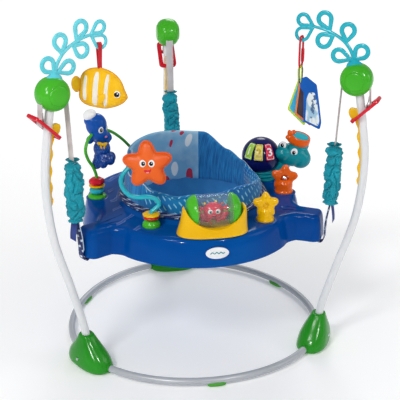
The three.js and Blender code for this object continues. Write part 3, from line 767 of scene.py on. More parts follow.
def clear_window():
    n = Nodes("clear_window", "e6eef2", 0.04, Alpha=0.055, IOR=1.5, Specular_IOR_Level=0.6)
    n.rough(n.noise(40, 4), 0.03, 0.1)
    if hasattr(n.mat, "surface_render_method"):
        n.mat.surface_render_method = "BLENDED"
    return n.mat


WINDOW = clear_window()


def tray_material():
    """Royal blue gloss, with pale wave transfers on the deck."""
    n = Nodes("tray_deck", "003f8e", 0.1, IOR=1.5, Specular_IOR_Level=0.06)
    blue = n.mottled("00418e", "00509e", 5, 3)
    where = n.moved("Object", rotate=(0, 0, 0.9))
    wave = n.add("TexWave", 1, props={"bands_direction": "X"}, Vector=where, Scale=5.5, Distortion=3.2,
                 Detail=1.5, Detail_Scale=4.0)
    line = n.ramp(wave, [(0.80, 0.0), (0.84, 1.0), (0.93, 1.0), (0.97, 0.3)])
    x, _, z = n.parts(n.where())

    def between(value, low, high):
        return n.math("MULTIPLY", n.math("GREATER_THAN", value, low), n.math("LESS_THAN", value, high))

    left = between(x, -0.215, -0.085)  # the left of the deck, in m
    mask = n.math("MULTIPLY", between(z, 0.3672, 0.369), left)
    front = n.math("MULTIPLY", mask, n.ramp(n.noise(8, 2), [(0.44, 0.0), (0.5, 1.0)]))
    n.colour(n.mix(n.math("MULTIPLY", n.math("MULTIPLY", line, front), 0.5), blue, "7f93cf"))
    n.rough(n.noise(30, 5), 0.07, 0.15)
    n.bump(n.noise(160, 2), 0.04, 0.0005)
    return n.mat


TRAY = tray_material()


# ---- straps, racks and adjusters ----
def slab(name, outline, thick, u, v, origin, mat, bevel=0.0):
    """A flat outline of (u, v) points with a thickness."""
    u, v = Vector(u).normalized(), Vector(v).normalized()
    w = u.cross(v)
    m = len(outline)
    verts = [Vector(origin) + u * x + v * y + w * s * thick / 2 for s in (1, -1) for x, y in outline]
    faces = [tuple(range(m)), tuple(range(2 * m - 1, m - 1, -1))]
    faces += [(j, (j + 1) % m, m + (j + 1) % m, m + j) for j in range(m)]
    o = make(name, verts, faces, mat, sharp=40)
    if bevel:
        round_edges(o, bevel, 35)
        apply_all(o)
        o.data.set_sharp_from_angle(angle=math.radians(60))
    return o


def rrect(x0, x1, y0, y1, r, n=6):
    out = []
    for cx, cy, a0 in ((x1 - r, y1 - r, 0), (x0 + r, y1 - r, 90), (x0 + r, y0 + r, 180),
                       (x1 - r, y0 + r, 270)):
        for k in range(n + 1):
            a = math.radians(a0 + 90 * k / n)
            out.append((cx + r * math.cos(a), cy + r * math.sin(a)))
    return out


def ribbon(name, path, width, thick, side, mat, count=None):
    """Woven strip along a path; its width lies along side."""
    pts = resample(path, count or max(12, int(sum((a - b).length for a, b in zip(path, path[1:])) / 3)))
    sec = rrect(-width / 2, width / 2, -thick / 2, thick / 2, thick * 0.45, 2)
    return sweep(name, pts, sec, mat, normal=side, sharp=80)


# the strap that hangs from the hub and turns up through the buckle, as distance out and height
HOOP = ((436.4, 716), (437.4, 690), (439.6, 660), (442.3, 650), (439, 643.2), (432.6, 645), (431.6, 653),
        (435.6, 664), (436.4, 676))

for side, deg in ARMS.items():
    v = at(deg, 0, 0, 1)
    drop = [at(deg, lerp(364, 371.3, t), lerp(549, 712, t)) for t in (0, 0.5, 1)]
    inner = ribbon("strap_inner_band_" + side, drop, 20, 1.8, v, WEBBING, 60)
    mix_line(inner, "frame", "hangers", at(deg, 371, 702), at(deg, 364, 560), "webbing",
             "strap_inner_" + side)
    loop = curve([at(deg, r, z) for r, z in HOOP], 70)
    outer = ribbon("strap_outer_band_" + side, loop, 20, 1.7, v, WEBBING, 70)
    mix_line(outer, "frame", "adjuster_" + side, at(deg, 437, 702), at(deg, 438, 668), "webbing",
             "strap_outer_" + side)

    teeth = []
    for k in range(81):
        z = lerp(452, 612, k / 80)
        end = min(1.0, (z - 452) / 16)
        teeth.append((arm_radius(z) - 9 - end * (5 + 2.2 * math.cos(2 * math.pi * (z - 612) / 38)), z))
    teeth += [(arm_radius(616) - 12, 616), (398, 618.5), (393.5, 624), (391, 632), (391, 638), (393, 642),
              (397, 643.5), (arm_radius(643) - 8, 642)]
    teeth += [(arm_radius(lerp(641, 452, k / 12)) - 4, lerp(641, 452, k / 12)) for k in range(13)]
    ride(slab("height_rack_" + side, teeth, 12, at(deg, 1, 0), Z, P(0, 0, 0), YELLOW, 1.4), "frame",
         "yellow_plastic", "rack_" + side)

    tilt = math.radians(44.6)
    along = at(deg, math.cos(tilt), math.sin(tilt))
    low = at(deg, 400, 612)
    buckle = slab("height_buckle_" + side, rrect(0, 85, -25, 25, 11, 8), 7, along, v, low, RED)
    holes = [slab("hole_a", rrect(9, 49, -13, 13, 4), 20, along, v, low, RED),
             slab("hole_b", rrect(55, 74, -13, 13, 3), 20, along, v, low, RED)]
    cut(buckle, holes, bevel=1.5)
    ride(buckle, "adjuster_" + side, "red_plastic", "adjuster_" + side)
    up = along.cross(v).normalized()
    up = up if up.z > 0 else -up
    for k, x in enumerate((3.6, 79.5)):
        ride(slab(f"buckle_grip_{side}_{k + 1}", rrect(x - 2.2, x + 2.2, -19, 19, 2), 9.4, along, v, low,
                  RED, 0.8), "adjuster_" + side, "red_plastic")

# ---- springs, gathered sleeves and lower tabs ----
SPRING_OUT, SPRING_LOW, SPRING_TOP = 361, 404, 545
TURNS, TURN_POINTS = 7, 28
SEEDS = {"left": 3.1, "right": 17.7, "back": 31.3}  # each sleeve is rumpled in its own way


def puffs(x, y, z):
    """Rounded puffs between sharp creases, from 0 to 1."""
    return min(1.0, 3.2 * abs(noise.noise(Vector((x, y, z))))) ** 0.6


# the strap from the spring round the tray's rim, and the flap over it, as distance out and height
LOWER_STRAP = ((361, 412), (360.6, 398), (357.5, 380), (352.6, 350), (350.8, 320), (350, 303), (346, 293.5),
               (338.5, 290.4), (332, 296), (330, 315), (329, 350))
FLAP_HANG = ((363.2, 408), (364.5, 396), (367.5, 380), (370, 362), (370.5, 350))

for side, deg in ARMS.items():
    c, last = at(deg, SPRING_OUT, 0), TURNS * TURN_POINTS
    top, low = at(deg, SPRING_OUT, SPRING_TOP), at(deg, SPRING_OUT, SPRING_LOW)
    coil = []
    for k in range(last + 1):
        a = 2 * math.pi * k / TURN_POINTS
        rr = 11.5 * min(1.0, 0.35 + min(k, last - k) / 22)
        height = lerp(SPRING_LOW + 1, SPRING_TOP - 1, k / last)
        coil.append(P(c.x + rr * math.cos(a), c.y + rr * math.sin(a), height))
    spring = sweep("bounce_spring_" + side, coil, circle(1.5, 10), GREY_METAL)
    mix_line(spring, "hangers", "tray", top, low, "spring_steel", "spring_" + side)

    rows, n, seed = [], 150, SEEDS[side]
    for i in range(181):
        t = i / 180
        z = lerp(397.5, 549.5, t)
        ends = 1.0  # drawn in by elastic at both ends, and by a seam below the upper one
        for depth, where, width in ((0.28, 0.04, 0.025), (0.5, 0.955, 0.03), (0.2, 0.8, 0.04)):
            ends -= depth * math.exp(-((t - where) / width) ** 2)
        body = 19.6 + 4.5 * noise.noise(Vector((seed * 2, 1.7, z * 0.028)))
        cx = 9 * noise.noise(Vector((seed, 5.0, z * 0.017)))
        cy = 6 * noise.noise(Vector((seed, 9.0, z * 0.017)))
        fade = min(1.0, 6 * t, 6 * (1 - t))
        ring_pts = []
        for j in range(n):
            a = 2 * math.pi * j / n
            ca, sa = math.cos(a), math.sin(a)
            zz = z + 14 * noise.noise(Vector((ca * 0.9, sa * 0.9, z * 0.012 + seed)))
            folds = puffs(ca * 1.0 + seed, sa * 1.0, zz * 0.05)
            small = puffs(ca * 1.9, sa * 1.9 + seed, zz * 0.1)
            r = (body - 6.5 + 7.5 * folds * (0.5 + 0.5 * fade) + 2.4 * small) * ends
            drop = 4 * noise.noise(Vector((ca * 1.2, sa * 1.2, z * 0.05 - seed))) * fade
            ring_pts.append(P(c.x + r * ca + cx * fade, c.y + r * sa + cy * fade, z + drop))
        rows.append(ring_pts)
    sleeve = skin("gathered_sleeve_" + side, rows, RUCHED, open_ends=True, sharp=180)
    mix_line(sleeve, "hangers", "tray", top, low, "teal_fabric", "sleeve_" + side)

    v = at(deg, 0, 0, 1)
    line = curve([at(deg, r, z) for r, z in LOWER_STRAP], 90)
    tab = ribbon("lower_strap_" + side, line, 20, 2.2, v, NAVY_PRINT, 90)
    ride(tab, "tray", "navy_fabric", "tab_" + side)
    edge = ribbon("lower_strap_backing_" + side, [p + at(deg, -1.5, 0) for p in line[4:44]], 24, 1.0, v,
                  PIPING, 60)
    ride(edge, "tray", "navy_fabric")
    hang = curve([at(deg, r, z) for r, z in FLAP_HANG], 40)
    flap = ribbon("hanger_flap_" + side, hang, 25, 1.2, v, FLAP, 60)
    ride(flap, "tray", "navy_fabric")


# ---- tray ----
def tray_outline(in_edge, in_lobe):
    w, L, c = 36 - in_lobe, 344 - in_lobe, max(20 - in_lobe, 6)
    half = [(L, 0)]
    for k in range(7):
        a = math.pi / 2 * k / 6
        half.append((L - c + c * math.cos(a), w - c + c * math.sin(a)))
    half += [(306, w), (293 - in_edge / 2, w + 1.2), (285 - in_edge / 2, w + 3.5)]
    out = []
    for deg in (90, 210, 330):
        for s in (1, -1):
            arm = deg if s > 0 else deg + 120
            part = [at(arm, x, 0, -s * y) for x, y in half]
            for psi in (12, 17, 23, 29, 35, 41, 47, 54, 60):
                r = 291 - 14 * ((60 - psi) / 49) ** 2 - in_edge
                part.append(at(arm + s * psi, r, 0))
            out += part if s > 0 else list(reversed(part))[1:-1]
    return out


def closed_curve(points, count):
    pts = [Vector(p) for p in points]
    pts = [p for p, q in zip(pts, pts[-1:] + pts[:-1]) if (p - q).length > 0.4]
    m = len(pts)
    fine = []
    for i in range(m):
        p0, p1, p2, p3 = pts[i - 1], pts[i], pts[(i + 1) % m], pts[(i + 2) % m]
        for k in range(8):
            t = k / 8
            fine.append(0.5 * ((2 * p1) + (p2 - p0) * t + (2 * p0 - 5 * p1 + 4 * p2 - p3) * t * t
                               + (3 * p1 - p0 - 3 * p2 + p3) * t ** 3))
    return resample(fine, count, closed=True)


TRAY_POINTS = 540


def tray_row(in_edge, in_lobe, z):
    return [P(p.x, p.y, z) for p in closed_curve(tray_outline(in_edge, in_lobe), TRAY_POINTS)]


BEARINGS = [math.atan2(p.y, p.x) for p in closed_curve(tray_outline(14, 10), TRAY_POINTS)]


def round_row(r, z):
    return [P(r * math.cos(a), r * math.sin(a), z) for a in BEARINGS]


# how far each row of the shell is drawn in at the edge and at the lobes, and its height
SHELL_OUTSIDE = ((2.2, 2.2, 300), (0.6, 0.6, 300.3), (0, 0, 301.8), (0.5, 0.2, 305), (3.4, 1, 320),
                 (7, 2.2, 340), (9.6, 3.8, 351), (12.2, 5.6, 359), (14.6, 7.6, 363.6), (17.6, 10.2, 366.4),
                 (21, 13.2, 367.7), (25, 17, DECK), (40, 30, DECK))
SHELL_INSIDE = ((40, 30, 364), (26, 18, 363.6), (15, 10.5, 354), (5, 5, 303), (4, 4, 300))
# radius and height of the rows round the seat's opening
OPENING = ((214, DECK), (200, DECK), (197.5, 368.3), (195.6, 369.4), (191.6, 374), (190, 375.8), (188, 377.3),
           (185.6, 378), (182, 378), (180.5, 377.4), (180, 376), (180, 338), (184, 338), (187, 364))
rows = [tray_row(*row) for row in SHELL_OUTSIDE] + [round_row(*row) for row in OPENING]
rows += [tray_row(*row) for row in SHELL_INSIDE]
tray = skin("tray_shell", rows, TRAY, joined=True, sharp=35)
ride(tray, "tray", "tray_plastic", "tray")

stalk_at, post_at, mirror_at, neck_at = P(-133, -176, 0), P(145, -190, 0), P(240, -16, 0), P(212, 96, 0)
arch_from, arch_to = P(-245, 35, 0), P(-95.6, 214.7, 0)
# a low ring round each toy's base
BASES = ((stalk_at, 27), (post_at, 27), (mirror_at, 29), (neck_at, 40), (arch_from, 27), (arch_to, 26))
for k, (spot, r) in enumerate(BASES):
    low_ring = [(r + 2, 366), (r + 2, 368.3), (r, 369.3), (r - 4, 369.3), (r - 4, 366)]
    ride(lathe(f"toy_seat_{k + 1}", spot, low_ring, BLUE, fillet=0.8, n=64), "tray", "tray_plastic")

# an oval badge with a plain wave
badge_u, badge_v = P(1, 0, 0), P(0, 0.16, 0.987)
badge_mid = P(6, -288.0, 336)
badge_rows = [oval(badge_mid + P(0, d, -0.16 * d), badge_u, badge_v, a, b, 64)
              for d, a, b in ((2, 27.5, 13.6), (-1.2, 27.5, 13.6), (-2.2, 26.4, 12.5))]
ride(skin("oval_badge", badge_rows, WHITE, sharp=60), "tray", "tray_plastic")
BADGE_WAVE = ((-17, -1), (-12, 2.5), (-7, -1), (-2, 2.5), (3, -1), (8, 2.5), (13, -1), (17, 1.5))
wave_path = curve([badge_mid + badge_u * x + badge_v * y + P(0, -2.6, 0.4) for x, y in BADGE_WAVE], 60)
ride(sweep("badge_wave", wave_path, circle(1.0, 8), TEAL), "tray", "tray_plastic")


# ---- seat ----
RIM = [(0, 499), (50, 491), (74, 448), (90, 428), (105, 411), (122, 409), (145, 430), (180, 442)]


def from_back(deg):
    return abs(((deg - FACING - 180 + 900) % 360) - 180)


def rim_height(deg):
    """The rim's height: tallest behind the child, and plump again at the front left."""
    b, a = from_back(deg), ((deg - FACING + 180) % 360) - 180
    plump = 25 * smooth((a + 112) / 30) * (1 - smooth((a + 68) / 48))
    for (x0, y0), (x1, y1) in zip(RIM, RIM[1:]):
        if b <= x1:
            return lerp(y0, y1, smooth((b - x0) / (x1 - x0))) + plump
    return RIM[-1][1]


def lean(r, z):
    return r - 0.12 * max(0.0, z - 400)


COUNT = 300
bearings = [360 * j / COUNT for j in range(COUNT)]


def fold(deg, z):
    """Soft upright folds in the cloth."""
    a = math.radians(deg)
    return noise.noise(Vector((math.cos(a) * 6, math.sin(a) * 6, z * 0.012)))


collar_rows = []
for t in [k / 26 for k in range(27)]:  # outside, from the flange up
    row = []
    for deg in bearings:
        rim = rim_height(deg) - 6
        z = lerp(384.5, rim, t)
        puff = 1.8 * math.sin(math.pi * min(1, t * 1.05)) ** 0.7
        puff += 1.4 * fold(deg, z) * math.sin(math.pi * t) ** 0.5
        row.append(at(deg, lean(176.5, z) + puff - 0.6, z))
    collar_rows.append(row)
for k in range(1, 12):  # over the rolled rim
    a = math.pi * k / 12
    row = []
    for deg in bearings:
        rim = rim_height(deg) - 6
        r = lean(172.6, rim) + 4.6 * math.cos(a)
        row.append(at(deg, r, rim + 6.2 * math.sin(a) + 0.5 * fold(deg, rim)))
    collar_rows.append(row)
for t in [k / 20 for k in range(21)]:  # down the inside
    row = []
    for deg in bearings:
        rim = rim_height(deg) - 6
        z = lerp(rim, 352, t)
        roll = 15 * smooth((from_back(deg) - 92) / 30) * math.sin(math.pi * min(1.0, t * 1.15 + 0.08)) ** 0.8
        puff = 1.6 * math.sin(math.pi * t) ** 0.6
        row.append(at(deg, lean(168.2, z) - roll - puff + 1.2 * fold(deg + 40, z), z))
    collar_rows.append(row)
for r, z in ((170.5, 350), (174, 356), (176, 376)):
    collar_rows.append([at(deg, r, z) for deg in bearings])
collar = skin("seat_collar", collar_rows, SEAT_OUT, joined=True, sharp=180)
collar.data.materials.append(SEAT_FRONT)
collar.data.materials.append(SEAT_IN)
for k, p in enumerate(collar.data.polygons):
    row, j = divmod(k, COUNT)
    if row < 32:
        p.material_index = 1 if from_back(bearings[j]) > 97 else 0
    else:
        p.material_index = 2 if from_back(bearings[j]) < 46 else (0 if from_back(bearings[j]) < 97 else 1)
ride(collar, "seat", "seat_fabric", "seat")
cord_path = [at(FACING + 180 + b, lean(172.6, rim_height(FACING + 180 + b) - 6) + 3.8,
                rim_height(FACING + 180 + b) - 2.4) for b in range(-104, 105)]
ride(sweep("seat_piping", cord_path, circle(1.3, 10), PIPING, normal=Z), "seat", "seat_fabric")

FLANGE = ((177, 380.2), (182, 379.6), (188, 379.6), (190.4, 380.6), (191, 382.4), (190, 384.4),
          (186, 385.6), (180, 386.6), (177, 388.5), (174.5, 388.0), (174.5, 381))
flange_rows = [[at(deg, r, z + 0.5 * fold(deg * 2, r)) for deg in bearings] for r, z in FLANGE]
flange = skin("seat_skirt_band", flange_rows, NAVY_PRINT, joined=True, sharp=180)
ride(flange, "seat", "seat_fabric")

bowl_out = [(176, 379), (175.4, 362), (174, 346), (169, 322), (162, 300), (149, 274), (132, 250),
            (111, 229), (88, 214), (66, 204), (42, 199.5), (20, 198)]
bowl_in = [(17, 203), (42, 205), (66, 209.5), (86, 219), (108, 234), (128, 255), (144, 279), (156, 304),
           (163, 326), (168, 350), (169, 366), (170, 379)]


def smooth_rows(rows, count):
    return [(p.x, p.z) for p in curve([(r, 0, z) for r, z in rows], count)]


def sag(deg, z):
    """How far the cloth of the bowl stands out in its folds."""
    return 1.6 * fold(deg, z) * smooth((379 - z) / 60)


profile = smooth_rows(bowl_in, 40) + smooth_rows(bowl_out, 44)
rows = [[at(deg, r + sag(deg, z), z) for deg in bearings] for r, z in profile]
bowl = skin("seat_bowl", rows, SEAT_BOWL, sharp=180)


def bowl_radius(z):
    """The bowl's outer radius at a height."""
    pts = list(reversed(bowl_out))
    for (r0, z0), (r1, z1) in zip(pts, pts[1:]):
        if z0 <= z <= z1:
            return lerp(r0, r1, (z - z0) / (z1 - z0))
    return 176.0


tools, bindings = [], []
for tag, a in (("front", -36), ("side", 36)):
    deg = FACING + a
    out = at(deg, 1, -0.55).normalized()
    base = at(deg, 100, 238)
    u = at(deg, 0, 0, 1)
    w = out.cross(u).normalized()
    tools.append(skin("leg_tool_" + tag, [oval(base + out * s, u, w, 47, 47, 72) for s in (-75, 75)],
                      SEAT_BOWL))
    hem = []
    for k in range(96):
        phi = 2 * math.pi * k / 96
        q = base + u * 47 * math.cos(phi) + w * 47 * math.sin(phi)
        s = -70.0
        while s < 90:
            p = q + out * s
            if p.z < 198 or math.hypot(p.x, p.y) > bowl_radius(p.z):
                break
            s += 0.5
        p = q + out * (s - 3.2)
        hem.append(p)
    hem = [sum((hem[(i + d) % 96] for d in (-2, -1, 0, 1, 2)), Vector()) / 5 for i in range(96)]
    bindings.append(sweep("leg_binding_" + tag, hem, squircle(4.4, 3.4, 16, 2.4), NAVY_TRIM, closed=True,
                          normal=out))
cut(bowl, tools, sharp=50)
bowl.data.materials.clear()
bowl.data.materials.append(SEAT_BOWL)
ride(bowl, "seat", "seat_fabric")
for b in bindings:
    ride(b, "seat", "seat_fabric")

# ---- kelp stems ----
STEM = [(396, 746), (392, 765), (383, 783), (369, 799), (349, 812), (325, 822), (298, 828)]
LEAVES = [((394, 755), (411, 777), 20, 11), ((393, 756), (359, 765), 19, 10),
          ((375, 793), (377, 824), 20, 11), ((348, 812), (322, 797), 20, 11),
          ((338, 817), (322, 847), 20, 11), ((300, 828), (272, 842), 17, 9.5),
          ((300, 828), (271, 809), 18, 11)]


def teardrop(tip, centre, radius, reach):
    """A closed outline: a round end about centre, drawn out towards tip."""
    towards = math.atan2(tip[1] - centre[1], tip[0] - centre[0])
    d = math.hypot(tip[0] - centre[0], tip[1] - centre[1]) * reach
    pts = []
    for k in range(33):
        a = towards + math.radians(56 + 248 * k / 32)
        pts.append(Vector((centre[0] + radius * math.cos(a), centre[1] + radius * math.sin(a), 0)))
    pts.append(Vector((centre[0] + d * math.cos(towards), centre[1] + d * math.sin(towards), 0)))
    pts = resample(pts, 72, closed=True)
    for _ in range(2):
        pts = [(a + 2 * b + c) / 4 for a, b, c in zip(pts[-1:] + pts[:-1], pts, pts[1:] + pts[:1])]
    return pts


def leaf(name, deg, tip, centre, outer, inner, mat):
    """A flat loop: a rounded band between two teardrop outlines."""
    last = name.endswith("_7")  # the hanging toy needs room to swing in this one
    a = teardrop(tip, centre, outer + 0.3, 1.03)
    b = teardrop(tip, centre, inner * (0.96 if last else 0.84), 0.6 if last else 0.56)
    u, n = at(deg, 1, 0), at(deg, 0, 0, 1)
    rings = []
    for p, q in zip(a, b):
        mid, half = (p + q) / 2, (p - q) / 2
        ring_pts = []
        for x, y in squircle(1.0, 2.6, 14, 3.0):
            c = mid + half * x
            ring_pts.append(u * c.x + Z * c.y + n * y)
        rings.append(ring_pts)
    return skin(name, rings, mat, joined=True, sharp=70)


KELP_FOOT = ((736, 20.5, 17), (741, 20, 16), (747, 18.6, 14.4), (751, 16, 12), (753.5, 12, 9),
             (757, 7.5, 5.5), (761, 6, 3.6))  # height and half sizes

# the left kelp wears the lighter copy of the aqua plastic: painted light
for side, mat, slot in (("left", CYAN_PAINTED_LIGHT, "cyan_plastic"), ("right", AQUA, "aqua_plastic")):
    deg = ARMS[side]
    line = curve([at(deg, r, z) for r, z in [(397, 738)] + STEM], 60)
    ride(sweep("kelp_stem_" + side, line, lambda t: squircle(2.9, lerp(4.6, 3.4, t), 16, 2.6), mat,
               normal=at(deg, 0, 0, 1)), "frame", slot, "kelp_" + side)
    for k, (tip, centre, outer, inner) in enumerate(LEAVES):
        ride(leaf(f"kelp_leaf_{side}_{k + 1}", deg, tip, centre, outer, inner, mat), "frame", slot)
    foot_rows = [oval(at(deg, 397.5, z), at(deg, 1, 0), at(deg, 0, 0, 1), a, b, 48)
                 for z, a, b in KELP_FOOT]
    foot = skin("kelp_foot_" + side, foot_rows, mat, sharp=80)
    ride(foot, "frame", slot)


# ---- plush fish ----
def on(origin, deg, x, y, d=0.0):
    """A point on a flat toy: across, up and towards the front."""
    return Vector(origin) + at(deg, 1, 0) * x + Z * y + at(deg, 0, 0, 1) * d


def smooth_outline(points, count=96):
    return [(p.x, p.y) for p in closed_curve([Vector((x, y, 0)) for x, y in points], count)]


fish_at = at(210, 279, 704)
FISH = [(62.5, -21.5), (57, -7), (50, 13), (39.5, 27.5), (22.5, 39.5), (1.5, 45.5), (-19.5, 44),
        (-34, 35.5), (-41, 23), (-42.5, 8), (-45, -8), (-45.8, -20), (-40.5, -31.5), (-28, -39.5),
        (-9, -44.5), (10, -47.5), (24, -46), (39.5, -41.8), (52, -35.5), (59, -28.5)]


def plush_face(outline, thick, power=2.2):
    """The distance of a stuffed shape's face from its middle plane, by place."""
    pts = [Vector((x, y)) for x, y in outline]
    mid = sum(pts, Vector((0, 0))) / len(pts)

    def depth(x, y):
        d = Vector((x, y)) - mid
        if d.length < 1e-6:
            return thick / 2
        best = 1e9
        for a, b in zip(pts, pts[1:] + pts[:1]):
            e = b - a
            cross = d.x * e.y - d.y * e.x
            if abs(cross) < 1e-9:
                continue
            t = ((a.x - mid.x) * e.y - (a.y - mid.y) * e.x) / cross
            s = ((a.x - mid.x) * d.y - (a.y - mid.y) * d.x) / cross
            if t > 0 and 0 <= s <= 1:
                best = min(best, t)
        share = 1 / best
        return 0.5 + (thick / 2 - 0.5) * max(0.0, 1 - share ** power) ** 0.5

    return depth


def patch(name, origin, deg, cover, depth, mat, lift, side):
    """A thin patch laid on a stuffed face. cover(t, s) gives (across, up) over the patch."""
    verts, faces, rows, cols = [], [], 26, 10
    for i in range(rows + 1):
        for j in range(cols + 1):
            x, y = cover(i / rows, j / cols)
            edge = min(i, rows - i, j, cols - j)
            verts.append(on(origin, deg, x, y, side * (depth(x, y) + (lift if edge else -0.5))))
    for i in range(rows):
        for j in range(cols):
            a = i * (cols + 1) + j
            faces.append((a, a + 1, a + cols + 2, a + cols + 1))
    return make(name, verts, faces, mat, sharp=180)


def eye(tag, origin, deg, x, y, d, white, black, body, slot="plush", stretch=1.0, side=1, look=(0, 0)):
    """A white disc, a black pupil and a small glint."""
    n = at(deg, 0, 0, 1) * side
    u = at(deg, 1, 0)
    lx, ly = look
    for label, dx, dy, dd, r, mat in (("white", 0, 0, 0, white, WHITE),
                                      ("pupil", lx, ly, 0.9, black, BLACK),
                                      ("glint", lx + black * 0.3, ly + black * 0.35, 1.7, black * 0.28,
                                       WHITE)):
        c = on(origin, deg, x + dx, y + dy, side * (d + dd))
        rings = [[c + u * a + Z * b * stretch + n * h for a, b in circle(r * f, 36)] for f, h in
                 ((1.0, -1.6), (1.0, 0.0), (0.9, 0.7), (0.7, 1.15), (0.4, 1.4), (0.12, 1.5))]
        ride(skin(f"{tag}_{label}", rings, mat, sharp=180), body, slot)


fish_outline = smooth_outline(FISH, 120)
FISH_THICK, FISH_POWER = 36, 2.6
fish = pillow("plush_fish", fish_at, TURN, fish_outline, FISH_THICK, PLUSH, rings=16, power=FISH_POWER)
ride(fish, "fish", "plush", "fish")
fish_depth = plush_face(fish_outline, FISH_THICK, FISH_POWER)
seam = [on(fish_at, TURN, x, y) for x, y in fish_outline]
ride(sweep("fish_piping", seam, circle(1.7, 10), PLUSH_DARK, closed=True, normal=at(TURN, 0, 0, 1)), "fish",
     "plush")
tail_shape = [(-52 + 10.5 * math.cos(a), 9 + 17.5 * math.sin(a))
              for a in [2 * math.pi * k / 60 for k in range(60)]]
tail = pillow("fish_tail", fish_at, TURN, tail_shape, 11, PLUSH, rings=8)
ride(tail, "fish", "plush")
ride(sweep("fish_tail_piping", [on(fish_at, TURN, x, y) for x, y in tail_shape], circle(1.3, 8), PLUSH_DARK,
           closed=True, normal=at(TURN, 0, 0, 1)), "fish", "plush")
# top of each stripe, its bottom, and its width at both
STRIPES = ((-28, 33, -33, -27, 8.5, 10), (-2, 41, -10.5, -40, 12.5, 13.5), (22, 35, 12.5, -43, 9.5, 10.5))
for face in (1, -1):
    label = "front" if face > 0 else "back"
    for k, (xt, yt, xb, yb, wt, wb) in enumerate(STRIPES):
        def cover(t, s, xt=xt, yt=yt, xb=xb, yb=yb, wt=wt, wb=wb):
            w = lerp(wt, wb, t) * (0.5 + 0.5 * min(1.0, 6 * min(t, 1 - t)))
            bow = 3 * math.sin(math.pi * t)
            return lerp(xt, xb, t) - bow * 0.6 + (s - 0.5) * w, lerp(yt, yb, t)

        ride(patch(f"fish_stripe_{label}_{k + 1}", fish_at, TURN, cover, fish_depth, PLUSH_WHITE, 0.5,
                   face), "fish", "plush")
    eye("fish_eye_" + label, fish_at, TURN, 40, -12, fish_depth(40, -12) - 0.2, 8.2, 6.2, "fish", side=face)
    fin_shape = smooth_outline([(14, -12), (13, -20), (8, -29), (1, -31), (-3, -24), (-1, -16), (5, -11),
                                (10, -9)], 48)
    ride(pillow("fish_side_fin_" + label, on(fish_at, TURN, 0, 0, face * (fish_depth(6, -19) + 1.5)), TURN,
                fin_shape, 6, PLUSH, rings=6), "fish", "plush")
    spots = ((47, -33.5), (51, -31), (56, -28.5))
    mouth = curve([on(fish_at, TURN, x, y, face * (fish_depth(x, y) + 0.2)) for x, y in spots], 16)
    ride(sweep("fish_mouth_" + label, mouth, circle(0.7, 8), PLUSH_DARK), "fish", "plush")
band_mid = at(210, 276, 0)
side_dir = at(300, 1, 0)
LACE = ((-1.4, 744), (-2.4, 765), (-4.4, 790), (-5.2, 800), (-4.4, 806), (0, 808.6), (4.4, 806),
        (5.2, 800), (4.4, 790), (2.4, 765), (1.4, 744))
lace = [band_mid + side_dir * s + P(0, 0, z) for s, z in LACE]
lace_ribbon = ribbon("fish_ribbon", curve(lace, 90), 10.5, 1.2, at(210, 1, 0), RIBBON, 90)
ride(lace_ribbon, "fish", "plush")

# ---- link and cloth book ----
link_mid = at(330, 270, 0)
link_u, link_n = at(40, 1, 0), at(310, 1, 0)
stadium = [link_mid + link_u * x + P(0, 0, 767.2 + y) for x, y in squircle(6.9, 36.6, 80, 3.6)]
link = sweep("toy_link", resample(stadium, 96, closed=True), squircle(2.2, 2.6, 14, 2.6), RED, closed=True,
             normal=link_n)
ride(link, "link", "red_plastic", "link")
CLIP = ((742, 2.6, 2.8), (743, 3.3, 3.5), (757, 3.5, 3.8), (773, 3.3, 3.5), (774, 2.6, 2.8))
clip_rows = [oval(link_mid + link_u * 6.9 + P(0, 0, z), link_u, link_n, a, b, 24, 3) for z, a, b in CLIP]
ride(skin("link_clip", clip_rows, RED, sharp=60), "link", "red_plastic")


def soft_corners(corners):
    """A polygon of (across, up) points with its corners rounded."""
    pts = [Vector((x, y, 0)) for x, y in corners]
    out = []
    for a, b, c in zip(pts[-1:] + pts[:-1], pts, pts[1:] + pts[:1]):
        out += corner(a, b, c, 4.0, 4)
    return [(v.x, v.y) for v in resample(out, 96, closed=True)]


def page(name, deg, back, corners, mat, inset_mat=None):
    """A sewn cloth page that hangs from the cord, with a printed panel on each side."""
    pts, base = soft_corners(corners), link_mid + at(75, back, 0)
    o = pillow(name, base, deg, pts, 4.4, mat, rings=8, power=6, edge=1.6)
    ride(o, "book", "page_fabric")
    if inset_mat:
        mid = Vector((sum(x for x, _ in pts) / len(pts), sum(y for _, y in pts) / len(pts)))
        small = [(mid.x + (x - mid.x) * 0.84, mid.y + (y - mid.y) * 0.88) for x, y in pts]
        for s in (1, -1):
            ride(pillow(f"{name}_panel_{'a' if s > 0 else 'b'}", base + at(deg, 0, 0, 1) * s * 2.1, deg,
                        small, 1.2, inset_mat, rings=5, power=8, edge=0.5), "book", "page_fabric")
    return o


